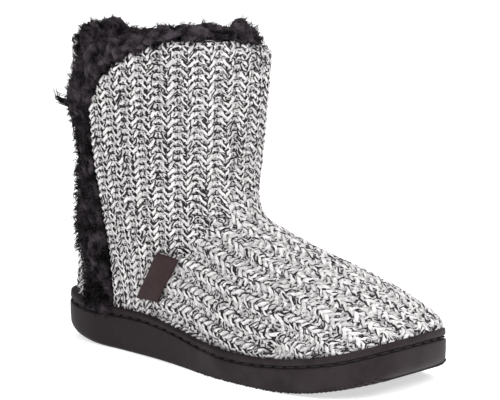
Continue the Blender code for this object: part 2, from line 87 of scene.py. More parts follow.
class Wire:
    """A shader socket that takes part in sums with numbers and other wires."""

    def __init__(self, paint: "Paint", socket: bpy.types.NodeSocket) -> None:
        """Keeps the material's paint and the socket.

        Args:
            paint: the material that the socket belongs to.
            socket: an output socket.
        """
        self.paint = paint
        self.socket = socket

    def maths(self, operation: str, *values: "Wire | float") -> "Wire":
        """Adds a Math node.

        Args:
            operation: the Math node's operation.
            values: its inputs in order.

        Returns:
            The wire of its result.
        """
        node = self.paint.node("ShaderNodeMath", {"operation": operation}, dict(enumerate(values)))
        return Wire(self.paint, node.outputs[0])

    def __add__(self, other: "Wire | float") -> "Wire":
        """self + other."""
        return self.maths("ADD", self, other)

    def __radd__(self, other: float) -> "Wire":
        """other + self."""
        return self.maths("ADD", other, self)

    def __sub__(self, other: "Wire | float") -> "Wire":
        """self - other."""
        return self.maths("SUBTRACT", self, other)

    def __rsub__(self, other: float) -> "Wire":
        """other - self."""
        return self.maths("SUBTRACT", other, self)

    def __mul__(self, other: "Wire | float") -> "Wire":
        """self * other."""
        return self.maths("MULTIPLY", self, other)

    def __rmul__(self, other: float) -> "Wire":
        """other * self."""
        return self.maths("MULTIPLY", other, self)

    def sine(self) -> "Wire":
        """The sine of the value, in radians."""
        return self.maths("SINE", self)

    def cosine(self) -> "Wire":
        """The cosine of the value, in radians."""
        return self.maths("COSINE", self)

    def larger(self, other: "Wire | float") -> "Wire":
        """The larger of two values."""
        return self.maths("MAXIMUM", self, other)

    def step(self, start: float, end: float) -> "Wire":
        """A smooth step.

        Args:
            start: the value at which the result is 0.
            end: the value at which the result is 1.

        Returns:
            The wire of the step.
        """
        node = self.paint.node(
            "ShaderNodeMapRange",
            {"interpolation_type": "SMOOTHSTEP"},
            {"Value": self, "From Min": start, "From Max": end},
        )
        return Wire(self.paint, node.outputs[0])


class Bench:
    """A node tree under construction: the one place where nodes are made."""

    tree: bpy.types.NodeTree

    def node(self, kind: str, settings: dict | None = None, sockets: dict | None = None) -> bpy.types.Node:
        """Adds a node.

        Args:
            kind: the node's type.
            settings: its properties, set first.
            sockets: a value, a wire or an output socket for each input, by name or place.

        Returns:
            The node.
        """
        made = self.tree.nodes.new(kind)
        for key, value in (settings or {}).items():
            setattr(made, key, value)
        for key, value in (sockets or {}).items():
            self.put(made.inputs[key], value)
        return made

    def put(self, socket: bpy.types.NodeSocket, value: object) -> None:
        """Links a wire or an output socket to an input socket, or sets its value."""
        value = value.socket if isinstance(value, Wire) else value
        if isinstance(value, bpy.types.NodeSocket):
            self.tree.links.new(value, socket)
        else:
            socket.default_value = value


class Paint(Bench):
    """A material under construction, with its one Principled shader."""

    def __init__(self, name: str) -> None:
        """Makes an empty material.

        Args:
            name: the material's name.
        """
        self.material = bpy.data.materials.new(name)
        self.material.use_nodes = True
        self.tree = self.material.node_tree
        self.shader = self.tree.nodes["Principled BSDF"]

    def attribute(self, name: str) -> bpy.types.Node:
        """A node that reads a mesh attribute."""
        return self.node("ShaderNodeAttribute", {"attribute_name": name})

    def level(self, name: str) -> Wire:
        """A mesh attribute's value."""
        return Wire(self, self.attribute(name).outputs["Fac"])

    def place(self) -> bpy.types.NodeSocket:
        """Object coordinates, in millimetres."""
        where = self.node("ShaderNodeTexCoord").outputs["Object"]
        mapping = self.node("ShaderNodeMapping", None, {"Vector": where, "Scale": (1.0 / MM,) * 3})
        return mapping.outputs[0]

    def noise(
        self, vector: bpy.types.NodeSocket, scale: float, detail: float = 2.0, rough: float = 0.5
    ) -> Wire:
        """A noise texture.

        Args:
            vector: where it is read.
            scale: its scale.
            detail: its detail.
            rough: its roughness.

        Returns:
            The wire of its factor.
        """
        sockets = {"Vector": vector, "Scale": scale, "Detail": detail, "Roughness": rough}
        return Wire(self, self.node("ShaderNodeTexNoise", None, sockets).outputs[0])

    def mix(self, factor: Wire, first: object, second: object) -> bpy.types.NodeSocket:
        """A blend of two colours.

        Args:
            factor: 0 for the first, 1 for the second.
            first: a colour or a colour socket.
            second: a colour or a colour socket.

        Returns:
            The colour's socket.
        """
        made = self.node("ShaderNodeMix", {"data_type": "RGBA"}, {0: factor})
        for socket, value in ((made.inputs[6], first), (made.inputs[7], second)):
            self.put(socket, (*value, 1.0) if isinstance(value, tuple) else value)
        return made.outputs[2]

    def bump(self, height: Wire, depth_mm: float) -> None:
        """Feeds a bump of so many millimetres to the shader's normal.

        Args:
            height: the height, 0 to 1.
            depth_mm: how far 1 stands above 0.
        """
        sockets = {"Height": height, "Distance": depth_mm * MM, "Strength": 1.0}
        made = self.node("ShaderNodeBump", None, sockets)
        self.put(self.shader.inputs["Normal"], made.outputs[0])

    def finish(self, **sockets: object) -> bpy.types.Material:
        """Sets the shader's sockets and gives the material.

        Args:
            sockets: a value or a wire for each socket, with _ for a space.

        Returns:
            The material.
        """
        for key, value in sockets.items():
            value = (*value, 1.0) if isinstance(value, tuple) and len(value) == 3 else value
            self.put(self.shader.inputs[key.replace("_", " ")], value)
        return self.material


class Socket(Enum):
    """The kinds of input a geometry node tree has."""

    GEOMETRY = "NodeSocketGeometry"
    FLOAT = "NodeSocketFloat"
    INT = "NodeSocketInt"
    OBJECT = "NodeSocketObject"
    MATERIAL = "NodeSocketMaterial"


class Growth(Bench):
    """A geometry node tree with named inputs, and the modifier that runs it."""

    def __init__(self, name: str, inputs: dict[str, Socket]) -> None:
        """Starts a tree.

        Args:
            name: the tree's name.
            inputs: its inputs after the geometry.
        """
        self.tree = bpy.data.node_groups.new(name, "GeometryNodeTree")
        face = self.tree.interface
        face.new_socket(name="Geometry", in_out="INPUT", socket_type=Socket.GEOMETRY.value)
        face.new_socket(name="Geometry", in_out="OUTPUT", socket_type=Socket.GEOMETRY.value)
        self.identifiers = {}
        for label, kind in inputs.items():
            made = face.new_socket(name=label, in_out="INPUT", socket_type=kind.value)
            self.identifiers[label] = made.identifier
        self.source = self.tree.nodes.new("NodeGroupInput")
        self.sink = self.tree.nodes.new("NodeGroupOutput")

    def read(self, label: str) -> bpy.types.NodeSocket:
        """The socket of one of the tree's inputs."""
        return self.source.outputs[label]

    def end(self, geometry: bpy.types.NodeSocket) -> None:
        """Ends the tree: smooth faces, real instances, one material.

        Args:
            geometry: what the tree made.
        """
        smooth = self.node("GeometryNodeSetShadeSmooth", None, {"Geometry": geometry})
        real = self.node("GeometryNodeRealizeInstances", None, {"Geometry": smooth.outputs[0]})
        dressed = self.node(
            "GeometryNodeSetMaterial", None, {"Geometry": real.outputs[0], "Material": self.read("Material")}
        )
        self.tree.links.new(dressed.outputs[0], self.sink.inputs[0])

    def grow(self, name: str, mesh: bpy.types.Mesh, **values: object) -> bpy.types.Mesh:
        """Runs the tree on a mesh.

        Args:
            name: the name of the mesh that comes out.
            mesh: the mesh that goes in.
            values: the tree's inputs. A mesh is put in an object of its own.

        Returns:
            A plain mesh.
        """
        seedling = bpy.data.objects.new(name + "_source", mesh)
        bpy.context.scene.collection.objects.link(seedling)
        modifier = seedling.modifiers.new(name, "NODES")
        modifier.node_group = self.tree
        helpers = []
        for label, value in values.items():
            if isinstance(value, bpy.types.Mesh):
                value = bpy.data.objects.new(value.name, value)
                bpy.context.scene.collection.objects.link(value)
                helpers.append(value)
            modifier[self.identifiers[label]] = value
        graph = bpy.context.evaluated_depsgraph_get()
        graph.update()
        grown = bpy.data.meshes.new_from_object(seedling.evaluated_get(graph), depsgraph=graph)
        grown.name = name
        for helper in [seedling, *helpers]:
            bpy.data.objects.remove(helper)
        bpy.data.meshes.remove(mesh)
        return grown


NUB_MIDDLE = 0.75
CURLS_PER_METRE = 110.0
CURL_SWING = 7.0
CURL_HANG = (-3.5, -3.5, -4.3)


def sweep_tree() -> Growth:
    """A tree that sweeps an oval section along a mesh's edges.

    The mesh has a "facing" attribute, the direction the section's thickness lies in, and a "girth" attribute,
    the section's scale.

    Returns:
        The tree, with the inputs Width, Thickness, Sides and Material.
    """
    made = Growth(
        "sweep_along_path",
        {"Width": Socket.FLOAT, "Thickness": Socket.FLOAT, "Sides": Socket.INT, "Material": Socket.MATERIAL},
    )
    paths = made.node("GeometryNodeMeshToCurve", None, {"Mesh": made.read("Geometry")})
    facing = made.node("GeometryNodeInputNamedAttribute", {"data_type": "FLOAT_VECTOR"}, {"Name": "facing"})
    turned = made.node(
        "GeometryNodeSetCurveNormal",
        {"mode": "FREE"},
        {"Curve": paths.outputs[0], "Normal": facing.outputs[0]},
    )
    girth = made.node("GeometryNodeInputNamedAttribute", {"data_type": "FLOAT"}, {"Name": "girth"})
    section = made.node("GeometryNodeCurvePrimitiveCircle", {"mode": "RADIUS"}, {"Radius": 0.5})
    made.tree.links.new(made.read("Sides"), section.inputs["Resolution"])
    where = made.node("GeometryNodeInputPosition")
    around = made.node(
        "GeometryNodeStoreNamedAttribute",
        {"data_type": "FLOAT_VECTOR", "domain": "POINT"},
        {"Geometry": section.outputs[0], "Name": "around", "Value": where.outputs[0]},
    )
    oval = made.node(
        "ShaderNodeCombineXYZ", None, {"X": made.read("Thickness"), "Y": made.read("Width"), "Z": 1.0}
    )
    shaped = made.node(
        "GeometryNodeTransform", None, {"Geometry": around.outputs[0], "Scale": oval.outputs[0]}
    )
    swept = made.node(
        "GeometryNodeCurveToMesh",
        None,
        {
            "Curve": turned.outputs[0],
            "Profile Curve": shaped.outputs[0],
            "Scale": girth.outputs[0],
            "Fill Caps": True,
        },
    )
    made.end(swept.outputs[0])
    return made


def lock_tree() -> Growth:
    """A tree that plants locks of fleece on a surface.

    Returns:
        The tree, with the inputs Density, Seed, Lean, Swirl, Smallest, Largest, Lock and Material.
    """
    made = Growth(
        "plant_fleece_locks",
        {
            "Density": Socket.FLOAT,
            "Seed": Socket.INT,
            "Lean": Socket.FLOAT,
            "Swirl": Socket.FLOAT,
            "Smallest": Socket.FLOAT,
            "Largest": Socket.FLOAT,
            "Lock": Socket.OBJECT,
            "Material": Socket.MATERIAL,
        },
    )
    spots = made.node(
        "GeometryNodeDistributePointsOnFaces",
        {"distribute_method": "RANDOM"},
        {"Mesh": made.read("Geometry"), "Density": made.read("Density"), "Seed": made.read("Seed")},
    )
    lock = made.node("GeometryNodeObjectInfo", None, {"Object": made.read("Lock")})
    less = made.node("ShaderNodeMath", {"operation": "MULTIPLY"}, {0: made.read("Lean"), 1: -1.0})
    back = made.node("ShaderNodeMath", {"operation": "MULTIPLY"}, {0: made.read("Swirl"), 1: -1.0})
    low = made.node(
        "ShaderNodeCombineXYZ",
        None,
        {"X": less.outputs[0], "Y": less.outputs[0], "Z": back.outputs[0]},
    )
    high = made.node(
        "ShaderNodeCombineXYZ",
        None,
        {"X": made.read("Lean"), "Y": made.read("Lean"), "Z": made.read("Swirl")},
    )
    turn = made.node(
        "FunctionNodeRandomValue",
        {"data_type": "FLOAT_VECTOR"},
        {0: low.outputs[0], 1: high.outputs[0], "Seed": made.read("Seed")},
    )
    where = made.node("GeometryNodeInputPosition")
    curls = made.node(
        "ShaderNodeTexNoise",
        {"noise_dimensions": "3D"},
        {"Vector": where.outputs[0], "Scale": CURLS_PER_METRE},
    )
    swung = made.node(
        "ShaderNodeVectorMath",
        {"operation": "MULTIPLY_ADD"},
        {0: curls.outputs["Color"], 1: (CURL_SWING,) * 3, 2: CURL_HANG},
    )
    hanging = made.node(
        "FunctionNodeAlignRotationToVector",
        {"axis": "X", "pivot_axis": "Z"},
        {"Rotation": spots.outputs["Rotation"], "Vector": swung.outputs[0]},
    )
    leant = made.node(
        "FunctionNodeRotateRotation", {"rotation_space": "LOCAL"}, {0: hanging.outputs[0], 1: turn.outputs[0]}
    )
    size = made.node(
        "FunctionNodeRandomValue",
        {"data_type": "FLOAT"},
        {2: made.read("Smallest"), 3: made.read("Largest"), "Seed": made.read("Seed")},
    )
    planted = made.node(
        "GeometryNodeInstanceOnPoints",
        None,
        {
            "Points": spots.outputs["Points"],
            "Instance": lock.outputs["Geometry"],
            "Rotation": leant.outputs[0],
            "Scale": size.outputs[1],
        },
    )
    ground = made.node("GeometryNodeJoinGeometry", None, {0: made.read("Geometry")})
    made.tree.links.new(planted.outputs[0], ground.inputs[0])
    made.end(ground.outputs[0])
    return made


def stitch_tree() -> Growth:
    """A tree that lays stitches end to end along a closed path.

    Returns:
        The tree, with the inputs Pitch, Stitch and Material.
    """
    made = Growth(
        "run_of_stitches",
        {"Pitch": Socket.FLOAT, "Stitch": Socket.OBJECT, "Material": Socket.MATERIAL},
    )
    path = made.node("GeometryNodeMeshToCurve", None, {"Mesh": made.read("Geometry")})
    spots = made.node("GeometryNodeResampleCurve", {"mode": "LENGTH"}, {"Curve": path.outputs[0]})
    made.tree.links.new(made.read("Pitch"), spots.inputs["Length"])
    along = made.node("GeometryNodeInputTangent")
    turned = made.node("FunctionNodeAlignRotationToVector", {"axis": "X"}, {"Vector": along.outputs[0]})
    stitch = made.node("GeometryNodeObjectInfo", None, {"Object": made.read("Stitch")})
    planted = made.node(
        "GeometryNodeInstanceOnPoints",
        None,
        {"Points": spots.outputs[0], "Instance": stitch.outputs["Geometry"], "Rotation": turned.outputs[0]},
    )
    made.end(planted.outputs[0])
    return made


# Finishes


@dataclass(frozen=True)
class MarledYarn:
    """Chunky yarn of white and grey plies with a thin black one twisted in."""

    name: str = "marled_yarn"
    white: Colour = (0.80, 0.775, 0.775)
    grey: Colour = (0.52, 0.50, 0.505)
    black: Colour = (0.014, 0.012, 0.014)
    # Painted shade: the colour that the strands' flanks and yarn lying behind other yarn are drawn towards.
    shade: Colour = (0.03, 0.028, 0.03)
    twist_mm: float = 34.0
    second_ply: float = 2.7
    black_from: float = 0.915
    ply_depth_mm: float = 0.35

    def build(self) -> bpy.types.Material:
        """Makes the material from the yarn's own attributes.

        Returns:
            The material.
        """
        paint = Paint(self.name)
        run = paint.level("run")
        tone = paint.level("tone")
        section = paint.attribute("around").outputs["Vector"]
        around = paint.node("ShaderNodeVectorMath", {"operation": "NORMALIZE"}, {0: section})
        parts = paint.node("ShaderNodeSeparateXYZ", None, {0: around.outputs[0]})
        out, across = Wire(paint, parts.outputs[0]), Wire(paint, parts.outputs[1])

        spot = paint.node("ShaderNodeCombineXYZ", None, {0: run * 0.1, 1: tone * 40.0, 2: 0.0}).outputs[0]
        drift = paint.noise(spot, 1.1, 1.0)
        patch = paint.noise(spot, 1.9, 2.0)
        angle = run * (math.tau / self.twist_mm) + drift * 9.0 + tone * 60.0
        ply = across * angle.cosine() + out * angle.sine()
        turned = angle + self.second_ply
        other = across * turned.cosine() + out * turned.sine()

        fibre_at = paint.node(
            "ShaderNodeCombineXYZ", None, {0: run * 0.22, 1: across * 1.6 + tone * 9.0, 2: out * 1.6}
        ).outputs[0]
        fibre = paint.noise(fibre_at, 2.4, 3.0, 0.6)
        thin = ply + (fibre - 0.5) * 0.16 + (patch - 0.5) * 0.45
        thinner = other + (fibre - 0.5) * 0.2 - (patch - 0.5) * 0.8
        dark = thin.step(self.black_from - 0.05, self.black_from + 0.04).larger(
            thinner.step(self.black_from - 0.03, self.black_from + 0.06)
        )
        pale = (patch + (fibre - 0.5) * 0.9).step(0.36, 0.6)
        ground = paint.mix(pale, self.grey, self.white)
        # Painted shade: lit is low on each strand's flanks and where yarn lies behind, and there the colour
        # goes towards the shade colour.
        proud = paint.level("proud")
        lit = out.step(0.0, 0.40) * (proud.step(0.0, 0.5) * 0.5 + 0.5)
        shaded = paint.mix(lit, self.shade, ground)
        # Painted shadow: a black line along the side of each strand that faces down and a little to the left,
        # away from the light.
        lee = across * paint.level("lee")
        line = (lee + (fibre - 0.5) * 0.2 + (patch - 0.5) * 0.7).step(0.20, 0.29)
        # The black ply and the painted shadow line both take the black colour.
        colour = paint.mix(dark.larger(line), shaded, self.black)

        paint.bump((1.0 - dark) * 0.5 + fibre * 0.5, self.ply_depth_mm)
        return paint.finish(Base_Color=colour, Roughness=0.88, Specular_IOR_Level=0.25, Sheen_Weight=0.15)


@dataclass(frozen=True)
class TeddyFleece:
    """Black teddy fleece, with painted shade between its nubs and painted highlights on their tops."""

    name: str = "black_teddy_fleece"
    # deep is the painted shade between the nubs, tip the painted highlight on their tops.
    deep: Colour = (0.0016, 0.0012, 0.0015)
    tip: Colour = (0.066, 0.053, 0.064)
    sheen: float = 0.05

    def build(self) -> bpy.types.Material:
        """Makes the material from object coordinates.

        Returns:
            The material.
        """
        paint = Paint(self.name)
        at = paint.place()
        patch = paint.noise(at, 0.12, 2.0)
        fibre = paint.noise(at, 0.6, 4.0, 0.7)
        nub = paint.level("nub")
        # Lighter on the nubs' tops, painted highlight, and darker between them, painted shade; the two noises
        # add tone that differs at random.
        colour = paint.mix((nub * 1.6 + patch * 0.4 + fibre * 0.6).step(1.05, 2.05), self.deep, self.tip)
        paint.bump(fibre, 1.2)
        return paint.finish(
            Base_Color=colour,
            Roughness=0.85,
            Specular_IOR_Level=0.07,
            Sheen_Weight=self.sheen,
            Sheen_Roughness=0.45,
        )


@dataclass(frozen=True)
class SoleRubber:
    """Matt black rubber with a fine moulded grain."""

    name: str = "black_sole_rubber"
    face: Colour = (0.0118, 0.0072, 0.0090)
    pale_face: Colour = (0.0270, 0.0205, 0.0232)

    def build(self) -> bpy.types.Material:
        """Makes the material from object coordinates.

        Returns:
            The material.
        """
        paint = Paint(self.name)
        at = paint.place()
        grain = paint.noise(at, 1.3, 3.0, 0.6)
        cloud = paint.noise(at, 0.06, 3.0)
        parts = paint.node("ShaderNodeSeparateXYZ", None, {0: at})
        along = Wire(paint, parts.outputs[0])
        # Pale patches at random, rubbed and dusty, and a ramp that makes the rubber lighter towards the toe.
        wear_and_toe_ramp = (cloud + (grain - 0.5) * 0.5 + along * 0.0015).step(0.4, 0.8)
        colour = paint.mix(wear_and_toe_ramp, self.face, self.pale_face)
        paint.bump(grain, 0.22)
        return paint.finish(Base_Color=colour, Roughness=cloud * 0.16 + 0.46, Specular_IOR_Level=0.13)


@dataclass(frozen=True)
class Footbed:
    """The footbed's short dark pile."""

    name: str = "footbed_pile"
    deep: Colour = (0.008, 0.0075, 0.0085)
    tip: Colour = (0.030, 0.028, 0.030)

    def build(self) -> bpy.types.Material:
        """Makes the material from object coordinates.

        Returns:
            The material.
        """
        paint = Paint(self.name)
        at = paint.place()
        pile = paint.noise(at, 0.9, 4.0, 0.7)
        colour = paint.mix(pile.step(0.35, 0.7), self.deep, self.tip)
        paint.bump(pile, 1.2)
        return paint.finish(Base_Color=colour, Roughness=0.95, Specular_IOR_Level=0.2, Sheen_Weight=0.3)


@dataclass(frozen=True)
class WovenRibbon:
    """The bare label's brown satin weave."""

    name: str = "brown_woven_ribbon"
    warp: Colour = (0.040, 0.019, 0.021)
    weft: Colour = (0.020, 0.009, 0.010)
    threads_per_mm: float = 2.6

    def build(self) -> bpy.types.Material:
        """Makes the material from the label's own map.

        Returns:
            The material.
        """
        paint = Paint(self.name)
        parts = paint.node("ShaderNodeSeparateXYZ", None, {0: paint.attribute("weave").outputs["Vector"]})
        pace = self.threads_per_mm * math.tau
        warp = (Wire(paint, parts.outputs[0]) * pace).sine()
        weft = (Wire(paint, parts.outputs[1]) * pace).sine()
        thread = (warp * 0.5 + weft * 0.35) * 0.5 + 0.5
        blotch = paint.noise(parts.inputs[0].links[0].from_socket, 0.35, 3.0)
        colour = paint.mix((thread * 0.6 + blotch * 0.5).step(0.2, 0.9), self.weft, self.warp)
        paint.bump(thread, 0.12)
        return paint.finish(Base_Color=colour, Roughness=0.7, Specular_IOR_Level=0.25)


@dataclass(frozen=True)
class PlainStuff:
    """A plain finish with a little grain: thread and the studio floor."""

    name: str
    face: Colour
    roughness: float
    grain_mm: float = 0.05
    spread: float = 0.12

    def build(self) -> bpy.types.Material:
        """Makes the material from object coordinates.

        Returns:
            The material.
        """
        paint = Paint(self.name)
        at = paint.place()
        grain = paint.noise(at, 0.7, 2.0)
        darker = tuple(part * (1.0 - self.spread) for part in self.face)
        colour = paint.mix(grain.step(0.3, 0.7), darker, self.face)
        paint.bump(grain, self.grain_mm)
        return paint.finish(Base_Color=colour, Roughness=self.roughness, Specular_IOR_Level=0.3)


# Small sums


def column(rows: Sequence[tuple[float, ...]], place: int, at: Grid) -> Grid:
    """Reads one column of a table of rows against its first column, as a cubic through them.

    Args:
        rows: the table, sorted by its first column.
        place: the column that is read.
        at: where it is read.

    Returns:
        The values.
    """
    table = np.array(rows, float)
    keys, values = table[:, 0], table[:, place]
    slopes = np.gradient(values, keys)
    at = np.clip(np.asarray(at, float), keys[0], keys[-1])
    i = np.clip(np.searchsorted(keys, at) - 1, 0, len(keys) - 2)
    step = keys[i + 1] - keys[i]
    t = (at - keys[i]) / step
    start = (2 * t**3 - 3 * t**2 + 1) * values[i] + (t**3 - 2 * t**2 + t) * step * slopes[i]
    end = (3 * t**2 - 2 * t**3) * values[i + 1] + (t**3 - t**2) * step * slopes[i + 1]
    return start + end


def ramp(value: Grid, start: float, end: float) -> Grid:
    """0 before start, 1 after end, straight between them."""
    return np.clip((np.asarray(value, float) - start) / (end - start), 0.0, 1.0)


def ease(value: Grid, start: float, end: float) -> Grid:
    """0 before start, 1 after end, smooth between them."""
    t = ramp(value, start, end)
    return t * t * (3.0 - 2.0 * t)


def unit(vectors: Grid) -> Grid:
    """The vectors at length 1."""
    return vectors / np.maximum(np.linalg.norm(vectors, axis=-1, keepdims=True), 1e-12)


def waves(points: Grid, size: float, seed: int, count: int = 7) -> Grid:
    """A smooth random height, about -1 to 1, from crossed waves.

    Args:
        points: where it is read, in millimetres.
        size: the width of its lumps.
        seed: picks the waves.
        count: how many waves there are.

    Returns:
        One value for each point.
    """
    dice = np.random.default_rng(seed)
    total = np.zeros(points.shape[:-1])
    for _ in range(count):
        aim = unit(dice.normal(size=3)) * math.pi / size * dice.uniform(0.7, 1.4)
        total += np.sin(points @ aim + dice.uniform(0.0, math.tau))
    return total / math.sqrt(count)


def nubs(points: Grid, size: float, seed: int) -> Grid:
    """The rounded nubs of teddy fleece: 1 on top of a nub, 0 between them.

    Args:
        points: where they are read, in millimetres.
        size: the distance between nubs.
        seed: moves the pattern.

    Returns:
        One value for each point.
    """
    flat = points.reshape(-1, 3) / size + seed * 7.3
    found = [noise.voronoi(Vector(point))[0][0] for point in flat]
    return (1.0 - np.clip(np.array(found), 0.0, 1.0) ** 2).reshape(points.shape[:-1])


def bisect(inside: Callable[[Grid], Grid], near: Grid, far: Grid, halvings: int = 26) -> Grid:
    """Where a ray leaves a form.

    Args:
        inside: whether the point at a distance lies inside.
        near: distances that are inside.
        far: distances that are outside.
        halvings: how often the stretch is halved.

    Returns:
        The distances at which the rays leave.
    """
    for _ in range(halvings):
        middle = (near + far) / 2
        within = inside(middle)
        near, far = np.where(within, middle, near), np.where(within, far, middle)
    return near


def new_mesh(name: str, points: Grid, faces: Sequence[Sequence[int]], edges: Sequence = ()) -> bpy.types.Mesh:
    """A mesh from points in metres, smooth.

    Args:
        name: its name.
        points: its vertices.
        faces: its faces.
        edges: its loose edges.

    Returns:
        The mesh.
    """
    mesh = bpy.data.meshes.new(name)
    mesh.from_pydata(np.asarray(points, float).tolist(), list(edges), faces)
    mesh.update()
    if faces:
        mesh.shade_smooth()
    return mesh


def grid_faces(rows: int, columns: int, closed: bool = False, first: int = 0, turned: bool = False) -> list:
    """The faces of a grid of points.

    Args:
        rows: how many rows of points there are.
        columns: how many points there are in a row.
        closed: whether the last column joins the first.
        first: the first point's number.
        turned: whether the faces are turned over.

    Returns:
        Its quads.
    """
    i, j = np.meshgrid(np.arange(rows - 1), np.arange(columns if closed else columns - 1), indexing="ij")
    low, high, after = i * columns, (i + 1) * columns, (j + 1) % columns
    quads = np.stack([low + j, low + after, high + after, high + j], -1).reshape(-1, 4) + first
    return (quads[:, ::-1] if turned else quads).tolist()


def end_faces(rings: int, half: int) -> list:
    """The faces that close a stack of rings at both ends, from side to side.

    Args:
        rings: how many rings there are.
        half: how many stretches each side of a ring has.

    Returns:
        The faces; the first ring's look the other way.
    """
    count = 2 * half
    faces = []
    for first, turned in ((0, True), ((rings - 1) * count, False)):
        ends = [
            (first + k, first + k + 1, first + (count - k - 1) % count, first + (count - k) % count)
            for k in range(1, half)
        ]
        ends.append((first, first + 1, first + count - 1))
        faces += [face[::-1] if turned else face for face in ends]
    return faces


def put_attribute(mesh: bpy.types.Mesh, name: str, kind: str, values: Grid) -> None:
    """Stores one value or vector for each point of a mesh.

    Args:
        mesh: the mesh.
        name: the attribute's name.
        kind: its data type.
        values: its values.
    """
    made = mesh.attributes.new(name, kind, "POINT")
    field_name = "vector" if kind == "FLOAT_VECTOR" else "value"
    made.data.foreach_set(field_name, np.asarray(values, np.float32).ravel())


def show(name: str, mesh: bpy.types.Mesh, replaces: Sequence[str] = ()) -> bpy.types.Object:
    """Puts a finished piece in the scene, riding on the boot.

    Args:
        name: the piece's name.
        mesh: its mesh, in the frame's metres, with its material.
        replaces: the solids that it stands for.

    Returns:
        The piece.
    """
    mesh.name = name
    piece = bpy.data.objects.new(name, mesh)
    bpy.context.scene.collection.objects.link(piece)
    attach(piece, BODY)
    if replaces:
        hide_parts(*replaces)
    triangles = sum(len(face.vertices) - 2 for face in mesh.polygons)
    LOG.info("%s: %d triangles", name, triangles)
    return piece


# The last


